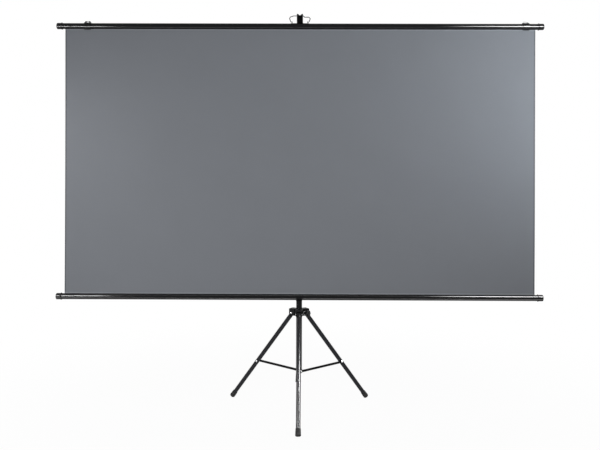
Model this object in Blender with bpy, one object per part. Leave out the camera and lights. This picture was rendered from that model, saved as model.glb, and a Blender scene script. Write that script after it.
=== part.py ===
"""Tripod projector screen: a taut fabric between two slotted bars, hung from a telescoping mast
on a three-legged stand whose hub slides down the pole to fold the legs.

Metres, +Z up. The screen faces -Y, its width runs along X, and the feet stand at z = 0.
"""
import math

import bmesh
import bpy
from mathutils import Matrix

# Fits shared by all pieces
seat_gap = 0.0003
overrun = 0.002
merge_distance = 0.000001

# Screen and its two bars
screen_width = 2.214
screen_height = 1.247
fabric_thickness = 0.00045
bar_overhang = 0.0135
bar_radius = 0.014
bar_wall = 0.0014
bar_slot_width = 0.003
spline_radius = 0.003

# End caps of the bars
cap_length = 0.026
cap_radius = 0.0149
cap_edge_radius = 0.004
cap_flange_radius = 0.0167
cap_flange_width = 0.003
cap_spigot_length = 0.012

# Sliding clips on the upper bar
clip_width = 0.031
clip_wall = 0.0026
clip_mouth_angle = math.radians(62)
clip_lug_height = 0.0092
clip_lug_top_width = 0.022
clip_lug_depth = 0.005
clip_lug_wall = 0.0022
clip_slot_width = 0.012
clip_slot_height = 0.0050
clip_left_inset = 0.1065
clip_right_inset = 0.046

# Legs
leg_count = 3
leg_length = 0.572
leg_spread = math.radians(37.95)
leg_radius = 0.010
leg_wall = 0.0012
leg_tube_start = 0.020
leg_spigot_length = 0.024
leg_eye_radius = 0.011
foot_length = 0.032
foot_radius = 0.0125
foot_top_radius = 0.0117
foot_sole = 0.004
foot_edge_radius = 0.003
foot_flat_depth = 0.0015

# Hub
hub_pivot_radius = 0.035
hub_wall = 0.0062
hub_top = 0.0215
hub_ear_radius = 0.0125
hub_ear_wall = 0.0045
hub_ear_corner = 0.005
hub_roof = 0.0087
hub_slot_root = 0.0225
hub_boss_radius = 0.010
hub_boss_reach = 0.0285
hub_boss_height = 0.003
hub_knob_azimuth = math.radians(-30)

# Pins, screws and rivets
pin_radius = 0.0025
pin_head_radius = 0.0042
pin_head_height = 0.0016
pin_dome_start = math.radians(35)
screw_depth = 0.0055
screw_bottom_gap = 0.0010

# Struts
strut_reach = 0.3262
strut_tilt = math.radians(4.4)
strut_root_radius = 0.005
strut_height = 0.011
strut_thickness = 0.003

# Pole and its fittings
pole_radius = 0.014
pole_wall = 0.0012
pole_rise = 0.077782
plug_radius = 0.015
plug_spigot_length = 0.01375
plug_lip = 0.0035
ring_wall = 0.0022
ring_skirt = 0.014
ring_lip = 0.0016
clamp_drop = 0.036
clamp_boss_radius = 0.008
clamp_boss_length = 0.010

# Clamping knobs
knob_radius = 0.0145
knob_thickness = 0.0145
knob_lobes = 6
knob_lobe_depth = 0.0022
knob_lobe_steps = 5
knob_edge_share = 0.2
knob_rim_share = 0.9
knob_dish_share = 0.55
knob_neck_radius = 0.0075
knob_neck_length = 0.011
small_knob_radius = 0.0115
small_knob_thickness = 0.011
small_knob_neck_length = 0.005
stud_radius = 0.003
stud_flange_radius = 0.0088
stud_flange_width = 0.0016

# Mast
mast_radius = 0.0125
mast_wall = 0.0012
mast_length = 0.850
bush_flange = 0.008
bush_spigot_length = 0.012
upper_mast_radius = 0.011
upper_mast_wall = 0.0012
upper_mast_overlap = 0.130
collar_wall = 0.0030
collar_skirt = 0.022
collar_lip = 0.004
collar_boss_reach = 0.024

# Cradle of the lower bar
cradle_width = 0.029
cradle_thickness = 0.003
cradle_running_gap = 0.0010
cradle_band_height = 0.030
cradle_band_wall = 0.003
cradle_lip = 0.002
cradle_lip_flare = 0.0015
cradle_rise = 0.0012

# Bail and its saddle on the upper bar
bail_wire_radius = 0.0014
bail_bend_radius = 0.003
bail_height = 0.0292
bail_half_width = 0.049
bail_pivot_height = 0.005
saddle_length = 0.086
saddle_thickness = 0.0012
saddle_half_angle = math.radians(38)
saddle_tab_width = 0.008
saddle_tab_thickness = 0.002
saddle_tab_inset = 0.0065
saddle_tab_top = 0.0035

# Hook head
hook_width = 0.029
hook_prong_thickness = 0.004
hook_throat = 0.0068
hook_back_height = 0.0066
hook_prong_height = 0.0108
hook_prong_gap = 0.008
hook_notch_depth = 0.017
hook_tip_slope = 0.004
hook_cap_wall = 0.0033
hook_cap_skirt = 0.030
hook_cap_roof = 0.004
hook_saddle_gap = 0.001

# Round pieces
fine_steps = 32
plain_steps = 20
small_steps = 12
wrap_steps = 12
saddle_steps = 8
half_round_steps = 6
arc_steps = 4
corner_steps = 3
dome_steps = 2
crease_angle = math.radians(35)

# Worked out from the sizes above
bar_length = screen_width + 2 * bar_overhang
bar_bore = bar_radius - bar_wall
pole_bore = pole_radius - pole_wall
mast_bore = mast_radius - mast_wall
upper_mast_bore = upper_mast_radius - upper_mast_wall
foot_slope = math.sin(leg_spread)
foot_drop = (foot_radius - foot_edge_radius) * foot_slope + foot_edge_radius * (1 - math.cos(leg_spread))
foot_end_height = foot_drop - foot_flat_depth
hub_height = leg_length * math.cos(leg_spread) + foot_end_height
strut_outer_radius = hub_pivot_radius + strut_reach * math.sin(leg_spread)
strut_outer_height = hub_height - strut_reach * math.cos(leg_spread)
strut_length = (strut_outer_radius - strut_root_radius) / math.cos(strut_tilt)
strut_root_height = strut_outer_height - strut_length * math.sin(strut_tilt)
strut_plane = leg_radius + seat_gap
pole_bottom = strut_root_height + strut_height / 2 + plug_lip
pole_top = hub_height + pole_rise
ring_radius = pole_radius + seat_gap + ring_wall
ring_top = pole_top + seat_gap + ring_lip
clamp_height = pole_top - clamp_drop
bar_offset = ring_radius + cradle_running_gap + cradle_thickness + seat_gap + bar_radius
cradle_band_bottom = ring_top + cradle_running_gap
lower_bar_height = cradle_band_bottom + cradle_rise
upper_bar_height = lower_bar_height + 2 * bar_radius + screen_height
mast_foot = pole_bottom + plug_spigot_length + seat_gap
mast_bottom = mast_foot + bush_flange + seat_gap
mast_top = mast_bottom + mast_length
bar_top = upper_bar_height + bar_radius
saddle_top = bar_top + seat_gap + saddle_thickness
bail_pivot = saddle_top + bail_pivot_height
bail_top = bail_pivot + bail_height
throat_floor = bail_top - bail_wire_radius - seat_gap
hook_bottom = saddle_top + hook_saddle_gap
upper_mast_top = bar_top + hook_prong_height
upper_mast_bottom = mast_top - upper_mast_overlap

# Direction of each leg, seen from above, front leg first
leg_azimuths = {
    "front": math.radians(-90),
    "right": math.radians(30),
    "left": math.radians(150),
}

along_x = Matrix(((0, 0, 1, 0), (1, 0, 0, 0), (0, 1, 0, 0), (0, 0, 0, 1)))
along_y = Matrix.Rotation(math.radians(90), 4, "X")


# Scene and materials
def clear_scene():
    for obj in list(bpy.data.objects):
        bpy.data.objects.remove(obj, do_unlink=True)


def paint(name, colour, roughness, metallic):
    material = bpy.data.materials.new(name)
    material.use_nodes = True
    shader = material.node_tree.nodes["Principled BSDF"]
    shader.inputs["Base Color"].default_value = (*colour, 1)
    shader.inputs["Roughness"].default_value = roughness
    shader.inputs["Metallic"].default_value = metallic
    return material


# Building blocks
def place(name, mesh, parent, location=(0, 0, 0), rotation=(0, 0, 0)):
    obj = bpy.data.objects.new(name, mesh)
    bpy.context.scene.collection.objects.link(obj)
    obj.parent = parent
    obj.location = location
    obj.rotation_euler = rotation
    return obj


def frame_at(name, parent, location=(0, 0, 0), rotation=(0, 0, 0)):
    empty = place(name, None, parent, location, rotation)
    empty.empty_display_size = bar_radius
    return empty


def mesh_of(bm, name, material=None, turn=None):
    if turn is not None:
        bmesh.ops.transform(bm, matrix=turn, verts=bm.verts)
    bmesh.ops.recalc_face_normals(bm, faces=bm.faces)
    mesh = bpy.data.meshes.new(name)
    bm.to_mesh(mesh)
    bm.free()
    if material:
        mesh.materials.append(material)
    mesh.shade_smooth()
    mesh.set_sharp_from_angle(angle=crease_angle)
    return mesh


def arc(centre, radius, start, end, steps=arc_steps):
    """Points of an arc with both its ends."""
    turns = [start + (end - start) * i / steps for i in range(steps + 1)]
    return [(centre[0] + radius * math.cos(t), centre[1] + radius * math.sin(t)) for t in turns]


def turned(profile, steps=plain_steps):
    """A solid of revolution round Z. A profile that starts off the axis is a closed ring."""
    bm = bmesh.new()
    verts = [bm.verts.new((radius, 0, height)) for radius, height in profile]
    edges = [bm.edges.new(pair) for pair in zip(verts, verts[1:])]
    if profile[0][0] > 0:
        edges.append(bm.edges.new((verts[-1], verts[0])))
    bmesh.ops.spin(
        bm, geom=verts + edges, cent=(0, 0, 0), axis=(0, 0, 1),
        angle=2 * math.pi, steps=steps, use_merge=True,
    )
    bmesh.ops.remove_doubles(bm, verts=bm.verts, dist=merge_distance)
    return bm


def rod(radius, low, high, steps=small_steps):
    return turned([(0, low), (radius, low), (radius, high), (0, high)], steps)


def sleeve(outer, inner, low, high, steps=fine_steps):
    return turned([(outer, high), (outer, low), (inner, low), (inner, high)], steps)


def prism(outline, depth):
    """An outline in XY, extruded half of depth each way along Z."""
    bm = bmesh.new()
    face = bm.faces.new([bm.verts.new((x, y, -depth / 2)) for x, y in outline])
    grown = bmesh.ops.extrude_face_region(bm, geom=[face])["geom"]
    moved = [part for part in grown if isinstance(part, bmesh.types.BMVert)]
    bmesh.ops.translate(bm, verts=moved, vec=(0, 0, depth))
    return bm


def box(low, high):
    bm = bmesh.new()
    size = [b - a for a, b in zip(low, high)]
    middle = [(a + b) / 2 for a, b in zip(low, high)]
    bmesh.ops.create_cube(bm, size=1)
    bmesh.ops.scale(bm, vec=size, verts=bm.verts)
    bmesh.ops.translate(bm, vec=middle, verts=bm.verts)
    return bm


def gathered(parts):
    """Several bmeshes as one, each with its own placement."""
    bm = bmesh.new()
    for part, matrix in parts:
        bmesh.ops.transform(part, matrix=matrix, verts=part.verts)
        part_mesh = bpy.data.meshes.new("part")
        part.to_mesh(part_mesh)
        part.free()
        bm.from_mesh(part_mesh)
        bpy.data.meshes.remove(part_mesh)
    return bm


def shape(target, operation, bm, name, turn=None, location=(0, 0, 0), rotation=(0, 0, 0)):
    """Join a hidden tool to the target, or cut the target with it."""
    tool = place(name, mesh_of(bm, name, turn=turn), target.parent, location, rotation)
    tool.hide_render = True
    tool.display_type = "WIRE"
    modifier = target.modifiers.new(name, "BOOLEAN")
    modifier.operation = operation
    modifier.object = tool
    return tool


def about_axis(azimuth):
    return Matrix.Rotation(azimuth, 4, "Z")


# Fasteners
def pin_head():
    """Profile of a low domed head, from its rim at z = 0 to the axis."""
    dome = arc((0, 0), pin_head_radius, pin_dome_start, math.radians(90), dome_steps)
    low = dome[0][1]
    flatten = pin_head_height / (dome[-1][1] - low)
    head = [(radius, (height - low) * flatten) for radius, height in dome]
    return head[:-1] + [(0, head[-1][1])]


def headed_pin(length):
    """A pin along Z with a domed head at each end of its length."""
    upper = [(pin_radius, length / 2)] + [(radius, length / 2 + height) for radius, height in pin_head()]
    lower = [(radius, -height) for radius, height in reversed(upper)]
    return turned(lower + upper, small_steps)


def rivet(shank):
    """A rivet whose shank runs down from z = 0 and whose domed head stands on it."""
    return turned([(0, -shank), (pin_radius, -shank), (pin_radius, 0)] + pin_head(), small_steps)


def knob(radius, thickness, neck_length):
    """A lobed knob along Z: neck at z = 0, then the grip with rounded rims and a dished face."""
    steps = knob_lobes * knob_lobe_steps
    low = neck_length
    high = neck_length + thickness
    edge = thickness * knob_edge_share
    rim = radius * knob_rim_share
    dish = radius * knob_dish_share
    rings = [
        (knob_neck_radius, 0, 0),
        (knob_neck_radius, low, 0),
        (rim, low, 1),
        (radius, low + edge, 1),
        (radius, high - edge, 1),
        (rim, high, 1),
        (dish, high, 0),
        (dish - edge / 2, high - edge / 2, 0),
    ]
    bm = bmesh.new()
    loops = []
    for ring, height, lobed in rings:
        loop = []
        for i in range(steps):
            turn = 2 * math.pi * i / steps
            dip = lobed * knob_lobe_depth * (1 - math.cos(knob_lobes * turn)) / 2
            reach = ring - dip
            loop.append(bm.verts.new((reach * math.cos(turn), reach * math.sin(turn), height)))
        loops.append(loop)
    for below, above in zip(loops, loops[1:]):
        for i in range(steps):
            j = (i + 1) % steps
            bm.faces.new((below[i], below[j], above[j], above[i]))
    bm.faces.new(loops[0][::-1])
    bm.faces.new(loops[-1])
    return bm


def stud(tip, flange):
    """A stud along Z from its tip to the flange that the knob is moulded against."""
    return turned([
        (0, tip), (stud_radius, tip), (stud_radius, flange), (stud_flange_radius, flange),
        (stud_flange_radius, flange + stud_flange_width), (0, flange + stud_flange_width),
    ])


def outward(azimuth):
    """Rotation that lays local Z along a horizontal direction."""
    return (math.radians(90), 0, azimuth + math.radians(90))


# Tripod stand
def build_pole(stand, black, plastic, bright):
    tube = sleeve(pole_radius, pole_bore, pole_bottom, pole_top)
    pole = place("pole_tube", mesh_of(tube, "pole_tube", black), stand)
    back = outward(math.radians(90))
    hole = rod(stud_radius + seat_gap, 0, pole_radius + overrun)
    shape(pole, "DIFFERENCE", hole, "cut_pole_stud_hole", None, (0, 0, clamp_height), back)

    lip_bore = mast_radius + seat_gap
    ring_bore = pole_radius + seat_gap
    skirt = pole_top - ring_skirt
    ring = turned([
        (ring_radius, skirt), (ring_bore, skirt), (ring_bore, pole_top + seat_gap),
        (lip_bore, pole_top + seat_gap), (lip_bore, ring_top), (ring_radius, ring_top),
    ], fine_steps)
    place("pole_guide_ring", mesh_of(ring, "pole_guide_ring", plastic), stand)

    boss_end = pole_radius + clamp_boss_length
    boss = rod(clamp_boss_radius, pole_bore, boss_end, plain_steps)
    boss = mesh_of(boss, "pole_clamp_boss", black)
    boss = place("pole_clamp_boss", boss, stand, (0, 0, clamp_height), back)
    seat = rod(pole_radius + seat_gap, clamp_height - clamp_boss_radius - overrun,
               clamp_height + clamp_boss_radius + overrun, fine_steps)
    shape(boss, "DIFFERENCE", seat, "cut_boss_seat")
    bore = rod(stud_radius + seat_gap, 0, boss_end + overrun)
    shape(boss, "DIFFERENCE", bore, "cut_boss_bore", None, (0, 0, clamp_height), back)

    build_plug(stand, plastic, bright)


def plug_outline():
    """Three flats that the struts lie against, joined by arcs."""
    face = leg_radius
    reach = math.acos(face / plug_radius)
    points = []
    for azimuth in sorted(leg_azimuths.values()):
        normal = azimuth - math.radians(90)
        following = normal + 2 * math.pi / leg_count
        points += arc((0, 0), plug_radius, normal + reach, following - reach)
    return points


def build_plug(stand, plastic, bright):
    low = strut_root_height - strut_height / 2 - plug_lip
    high = pole_bottom - seat_gap
    plug = place(
        "pole_end_plug", mesh_of(prism(plug_outline(), high - low), "pole_end_plug", plastic),
        stand, (0, 0, (low + high) / 2),
    )
    spigot = rod(pole_bore - seat_gap, high - plug_lip / 2, pole_bottom + plug_spigot_length, plain_steps)
    shape(plug, "UNION", spigot, "join_plug_spigot")
    holes = []
    for azimuth in leg_azimuths.values():
        hole = rod(pin_radius + seat_gap, -screw_depth - screw_bottom_gap, overrun)
        holes.append((hole, side_matrix(azimuth, strut_root_radius, leg_radius, strut_root_height)))
    shape(plug, "DIFFERENCE", gathered(holes), "cut_plug_screw_holes")
    for side, azimuth in leg_azimuths.items():
        name = "strut_%s_root_screw" % side
        frame = frame_at(name + "_seat", stand)
        frame.matrix_local = side_matrix(
            azimuth, strut_root_radius, strut_plane + strut_thickness + seat_gap, strut_root_height)
        shank = seat_gap + strut_thickness + seat_gap + screw_depth
        place(name, mesh_of(rivet(shank), name, bright), frame)


def side_matrix(azimuth, reach, side, height):
    """Placement at a radius on a leg's line, offset to its clockwise side, local Z pointing that way."""
    turn = about_axis(azimuth)
    return turn @ Matrix.Translation((reach, -side, height)) @ along_y


def build_hub(hub_frame, plastic, bright):
    bore = pole_radius + seat_gap
    core = pole_radius + hub_wall
    hub = place(
        "hub", mesh_of(sleeve(core, bore, -hub_ear_radius, hub_top), "hub", plastic), hub_frame)
    ear_root = (bore + core) / 2
    ear_outer = leg_radius + seat_gap + hub_ear_wall
    end = hub_pivot_radius + hub_ear_radius
    outline = [(ear_root, hub_top), (ear_root, -hub_ear_radius)]
    outline += arc((hub_pivot_radius, 0), hub_ear_radius, math.radians(-90), 0)
    outline += arc((end - hub_ear_corner, hub_top - hub_ear_corner), hub_ear_corner,
                   0, math.radians(90), corner_steps)
    slots = []
    holes = []
    for side, azimuth in leg_azimuths.items():
        block = prism(outline, 2 * ear_outer)
        shape(hub, "UNION", block, "join_ears_" + side, about_axis(azimuth) @ along_y)
        slot = box(
            (hub_slot_root, -leg_radius - seat_gap, -hub_ear_radius - overrun),
            (end + overrun, leg_radius + seat_gap, hub_top - hub_roof),
        )
        slots.append((slot, about_axis(azimuth)))
        hole = rod(pin_radius + seat_gap, -ear_outer - overrun, ear_outer + overrun)
        holes.append((hole, about_axis(azimuth) @ Matrix.Translation((hub_pivot_radius, 0, 0)) @ along_y))
    facing = outward(hub_knob_azimuth)
    boss = rod(hub_boss_radius, ear_root, hub_boss_reach, plain_steps)
    shape(hub, "UNION", boss, "join_knob_boss", None, (0, 0, hub_boss_height), facing)
    clear = rod(bore, -hub_ear_radius - overrun, hub_top + overrun, fine_steps)
    shape(hub, "DIFFERENCE", clear, "cut_hub_bore")
    shape(hub, "DIFFERENCE", gathered(slots), "cut_hub_slots")
    shape(hub, "DIFFERENCE", gathered(holes), "cut_hub_pin_holes")
    stud_bore = rod(stud_radius + seat_gap, 0, hub_boss_reach + overrun)
    shape(hub, "DIFFERENCE", stud_bore, "cut_hub_stud_bore", None, (0, 0, hub_boss_height), facing)
    for side, azimuth in leg_azimuths.items():
        name = "leg_%s_pivot_pin" % side
        seat = frame_at(name + "_seat", hub_frame)
        seat.matrix_local = about_axis(azimuth) @ Matrix.Translation((hub_pivot_radius, 0, 0)) @ along_y
        place(name, mesh_of(headed_pin(2 * (ear_outer + seat_gap)), name, bright), seat)


def build_clamp(prefix, parent, height, azimuth, tip, flange, sizes, plastic, bright):
    """A stud and its knob, on a frame whose Z is the screw's axis."""
    radius, thickness, neck_length = sizes
    axis = frame_at(prefix + "_axis", parent, (0, 0, height), outward(azimuth))
    place(prefix + "_stud", mesh_of(stud(tip, flange), prefix + "_stud", bright), axis)
    seat = flange + stud_flange_width + seat_gap
    place(prefix, mesh_of(knob(radius, thickness, neck_length), prefix, plastic), axis, (0, 0, seat))
    return axis


def build_leg(side, hub_frame, black, plastic, rubber, bright):
    azimuth = leg_azimuths[side]
    spread = frame_at("leg_%s_line" % side, hub_frame, (0, 0, 0), (0, 0, azimuth))
    axis = frame_at("leg_%s_axis" % side, spread, (hub_pivot_radius, 0, 0), (0, -leg_spread, 0))

    neck = leg_eye_radius / 2
    eye = rod(leg_eye_radius, -leg_radius, leg_radius, plain_steps)
    fitting = place("leg_%s_fitting" % side, mesh_of(eye, "leg_fitting", plastic, along_y), axis)
    stem = turned([
        (0, -neck), (leg_radius, -neck), (leg_radius, -leg_tube_start + seat_gap),
        (leg_radius - leg_wall - seat_gap, -leg_tube_start + seat_gap),
        (leg_radius - leg_wall - seat_gap, -leg_tube_start - leg_spigot_length),
        (0, -leg_tube_start - leg_spigot_length),
    ])
    shape(fitting, "UNION", stem, "join_%s_fitting_stem" % side)
    hole = rod(pin_radius + seat_gap, -leg_radius - overrun, leg_radius + overrun)
    shape(fitting, "DIFFERENCE", hole, "cut_%s_fitting_hole" % side, along_y)

    tube_end = -leg_length + foot_sole + seat_gap
    tube = sleeve(leg_radius, leg_radius - leg_wall, tube_end, -leg_tube_start, plain_steps)
    tube = place("leg_%s_tube" % side, mesh_of(tube, "leg_tube", black), axis)
    cross = rod(pin_radius + seat_gap, -leg_radius - overrun, leg_radius + overrun)
    shape(tube, "DIFFERENCE", cross, "cut_%s_tube_hole" % side, along_y, (0, 0, -strut_reach))

    pin = rivet(2 * leg_radius + seat_gap)
    name = "leg_%s_rivet" % side
    turn = Matrix.Rotation(math.radians(-90), 4, "X")
    place(name, mesh_of(pin, name, bright, turn), axis, (0, leg_radius + seat_gap, -strut_reach))
    build_foot(side, axis, rubber)


def build_foot(side, axis, rubber):
    """A rubber cap on the leg's end, worn flat where it meets the floor."""
    bore = leg_radius + seat_gap
    top = -leg_length + foot_length
    sole = -leg_length + foot_sole
    corner = arc((foot_radius - foot_edge_radius, -leg_length + foot_edge_radius), foot_edge_radius,
                 0, math.radians(-90), corner_steps)
    profile = [(0, sole), (bore, sole), (bore, top), (foot_top_radius, top)] + corner + [(0, -leg_length)]
    bm = turned(profile)
    floor_normal = (math.sin(leg_spread), 0, math.cos(leg_spread))
    floor_point = (-hub_height * math.sin(leg_spread), 0, -hub_height * math.cos(leg_spread))
    everything = list(bm.verts) + list(bm.edges) + list(bm.faces)
    cut = bmesh.ops.bisect_plane(
        bm, geom=everything, dist=merge_distance, plane_co=floor_point, plane_no=floor_normal,
        clear_inner=True,
    )["geom_cut"]
    rim = [part for part in cut if isinstance(part, bmesh.types.BMEdge)]
    bmesh.ops.contextual_create(bm, geom=rim)
    place("leg_%s_foot" % side, mesh_of(bm, "leg_foot", rubber), axis)


def build_strut(side, stand, black, bright):
    """A flat bar on the leg's clockwise side; its frame's Y is the hinge axis, X runs to the leg."""
    azimuth = leg_azimuths[side]
    line = frame_at("strut_%s_line" % side, stand, (0, 0, strut_root_height), (0, 0, azimuth))
    axis = frame_at("strut_%s_axis" % side, line, (strut_root_radius, 0, 0), (0, -strut_tilt, 0))
    half = strut_height / 2
    right = math.radians(90)
    outline = arc((strut_length, 0), half, -right, right, half_round_steps)
    outline += arc((0, 0), half, right, 3 * right, half_round_steps)
    middle = strut_plane + strut_thickness / 2
    bar = place("strut_" + side, mesh_of(prism(outline, strut_thickness), "strut", black, along_y),
                axis, (0, -middle, 0))
    drill = strut_thickness + 2 * overrun
    holes = [
        (rod(pin_radius + seat_gap, -drill / 2, drill / 2), Matrix.Translation((reach, 0, 0)) @ along_y)
        for reach in (0, strut_length)
    ]
    shape(bar, "DIFFERENCE", gathered(holes), "cut_strut_%s_holes" % side, None, (0, -middle, 0))
    name = "strut_%s_rivet" % side
    outer = strut_plane + strut_thickness + seat_gap
    pin = rivet(strut_thickness + seat_gap)
    place(name, mesh_of(pin, name, bright, along_y), axis, (strut_length, -outer, 0))


# Mast
def build_bush(name, parent, radius, bore, low, plastic):
    """A foot bush: a flange of the tube's own diameter and a spigot in its bore."""
    spigot = bore - seat_gap
    flange_top = low + bush_flange
    bush = turned([
        (0, low), (radius, low), (radius, flange_top), (spigot, flange_top),
        (spigot, flange_top + bush_spigot_length), (0, flange_top + bush_spigot_length),
    ])
    return place(name, mesh_of(bush, name, plastic), parent)


def build_mast(mast, upper, black, plastic):
    tube = sleeve(mast_radius, mast_bore, mast_bottom, mast_top)
    tube = place("mast_lower_tube", mesh_of(tube, "mast_lower_tube", black), mast)
    stud_height = mast_top - collar_skirt / 2
    back = outward(math.radians(90))
    hole = rod(stud_radius + seat_gap, 0, mast_radius + overrun)
    shape(tube, "DIFFERENCE", hole, "cut_mast_stud_hole", None, (0, 0, stud_height), back)

    outer = mast_radius + seat_gap + collar_wall
    lip = mast_top + seat_gap
    collar = turned([
        (outer, mast_top - collar_skirt), (mast_radius + seat_gap, mast_top - collar_skirt),
        (mast_radius + seat_gap, lip), (upper_mast_radius + seat_gap, lip),
        (upper_mast_radius + seat_gap, lip + collar_lip), (outer, lip + collar_lip),
    ], fine_steps)
    collar = place("mast_collar", mesh_of(collar, "mast_collar", plastic), mast)
    boss = rod(clamp_boss_radius, mast_radius + seat_gap + collar_wall / 2, collar_boss_reach, plain_steps)
    shape(collar, "UNION", boss, "join_collar_boss", None, (0, 0, stud_height), back)
    bore = rod(stud_radius + seat_gap, 0, collar_boss_reach + overrun)
    shape(collar, "DIFFERENCE", bore, "cut_collar_bore", None, (0, 0, stud_height), back)

    build_bush("mast_upper_bush", upper, upper_mast_radius, upper_mast_bore,
               upper_mast_bottom - seat_gap - bush_flange, plastic)
    top = sleeve(upper_mast_radius, upper_mast_bore, upper_mast_bottom, upper_mast_top)
    place("mast_upper_tube", mesh_of(top, "mast_upper_tube", black), upper)
    return stud_height


def build_cradle(mast, steel, bright):
    """A clamp band on the mast with a J-shaped strip that holds the lower bar from below."""
    inner = bar_radius + seat_gap
    outer = inner + cradle_thickness
    top = cradle_band_bottom + cradle_band_height - lower_bar_height
    right = math.radians(90)
    outline = [(inner, 0), (inner, top), (outer, top)]
    outline += arc((0, 0), outer, 0, -2 * right, wrap_steps)
    outline += [(-outer - cradle_lip_flare, cradle_lip + cradle_lip_flare),
                (-inner - cradle_lip_flare, cradle_lip + cradle_lip_flare)]
    outline += arc((0, 0), inner, -2 * right, 0, wrap_steps)[:-1]
    centre = (0, -bar_offset, lower_bar_height)
    cradle = place("cradle", mesh_of(prism(outline, cradle_width), "cradle", steel, along_x), mast, centre)
    band_top = cradle_band_bottom + cradle_band_height
    band_bore = mast_radius + seat_gap
    band = sleeve(band_bore + cradle_band_wall, band_bore, cradle_band_bottom, band_top)
    web = box((-mast_radius / 2, -bar_offset + outer - cradle_thickness / 2, cradle_band_bottom),
              (mast_radius / 2, -band_bore - cradle_band_wall / 2, band_top))
    shape(cradle, "UNION", web, "join_cradle_web")
    shape(cradle, "UNION", band, "join_cradle_band")
    middle = cradle_band_bottom + cradle_band_height / 2
    back = outward(math.radians(90))
    hole = rod(pin_radius + seat_gap, 0, band_bore + cradle_band_wall + overrun)
    shape(cradle, "DIFFERENCE", hole, "cut_cradle_screw_hole", None, (0, 0, middle), back)
    seat = band_bore + cradle_band_wall + seat_gap
    place("cradle_screw", mesh_of(rivet(seat - mast_radius - seat_gap), "cradle_screw", bright),
          mast, (0, seat, middle), back)


# Bars and fabric
def slotted_outline(mouth):
    """A tube wall with a slot at the mouth's side, as one open ring."""
    outer_half = math.asin(bar_slot_width / 2 / bar_radius)
    inner_half = math.asin(bar_slot_width / 2 / bar_bore)
    full = 2 * math.pi
    outer = arc((0, 0), bar_radius, mouth + outer_half, mouth + full - outer_half, fine_steps)
    inner = arc((0, 0), bar_bore, mouth + full - inner_half, mouth + inner_half, fine_steps)
    return outer + inner


def build_bar(prefix, parent, height, mouth, black, plastic, white):
    """One bar: slotted tube, the spline that holds the fabric in it, and two end caps."""
    bar = frame_at(prefix + "_bar_axis", parent, (0, -bar_offset, height))
    tube = prism(slotted_outline(mouth), bar_length)
    place(prefix + "_bar_tube", mesh_of(tube, prefix + "_bar_tube", black, along_x), bar)
    sag = math.sin(mouth) * (bar_bore - seat_gap - spline_radius)
    spline = rod(spline_radius, -screen_width / 2, screen_width / 2, small_steps)
    lay = Matrix.Rotation(math.radians(90), 4, "Y")
    place(prefix + "_bar_spline", mesh_of(spline, prefix + "_bar_spline", white, lay), bar, (0, 0, sag))
    corner = arc((cap_radius - cap_edge_radius, cap_length - cap_edge_radius), cap_edge_radius,
                 0, math.radians(90), corner_steps)
    base = seat_gap
    spigot = bar_bore - seat_gap
    profile = [(0, -cap_spigot_length), (spigot, -cap_spigot_length), (spigot, base),
               (cap_flange_radius, base), (cap_flange_radius, base + cap_flange_width),
               (cap_radius, base + cap_flange_width)] + corner + [(0, cap_length)]
    for side, sign in (("left", -1), ("right", 1)):
        turn = Matrix.Rotation(math.radians(90 * sign), 4, "Y")
        cap = mesh_of(turned(profile), prefix + "_bar_cap", plastic, turn)
        place("%s_bar_cap_%s" % (prefix, side), cap, bar, (sign * bar_length / 2, 0, 0))


def build_fabric(mast, cloth):
    reach = bar_bore - spline_radius * 2 - seat_gap
    low = lower_bar_height + reach + 2 * spline_radius + seat_gap
    high = upper_bar_height - reach - 2 * spline_radius - seat_gap
    half_width = screen_width / 2
    half_thickness = fabric_thickness / 2
    sheet = box((-half_width, -half_thickness, low), (half_width, half_thickness, high))
    place("screen_fabric", mesh_of(sheet, "screen_fabric", cloth), mast, (0, -bar_offset, 0))


def build_clip(name, parent, centre, plastic):
    """A C-shaped clip round the bar, with a slotted lug on top to hang it by."""
    inner = bar_radius + seat_gap
    outer = inner + clip_wall
    down = math.radians(-90)
    half_mouth = clip_mouth_angle / 2
    start = down + half_mouth
    end = down + 2 * math.pi - half_mouth
    outline = arc((0, 0), outer, start, end, plain_steps) + arc((0, 0), inner, end, start, plain_steps)
    frame = frame_at(name + "_axis", parent, (centre, -bar_offset, upper_bar_height))
    clip = place(name, mesh_of(prism(outline, clip_width), name, plastic, along_x), frame)
    root = bar_radius + clip_wall / 2
    tip = bar_radius + clip_lug_height
    half = clip_width / 2
    half_top = clip_lug_top_width / 2
    lug = prism([(-half, root), (half, root), (half_top, tip), (-half_top, tip)], clip_lug_depth)
    shape(clip, "UNION", lug, "join_%s_lug" % name, along_y)
    slot_top = tip - clip_lug_wall
    slot = box((-clip_slot_width / 2, -clip_lug_depth, slot_top - clip_slot_height),
               (clip_slot_width / 2, clip_lug_depth, slot_top))
    shape(clip, "DIFFERENCE", slot, "cut_%s_slot" % name)
    clear = rod(inner, -clip_width / 2 - overrun, clip_width / 2 + overrun, fine_steps)
    shape(clip, "DIFFERENCE", clear, "cut_%s_bore" % name, Matrix.Rotation(math.radians(90), 4, "Y"))
    return frame


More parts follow.
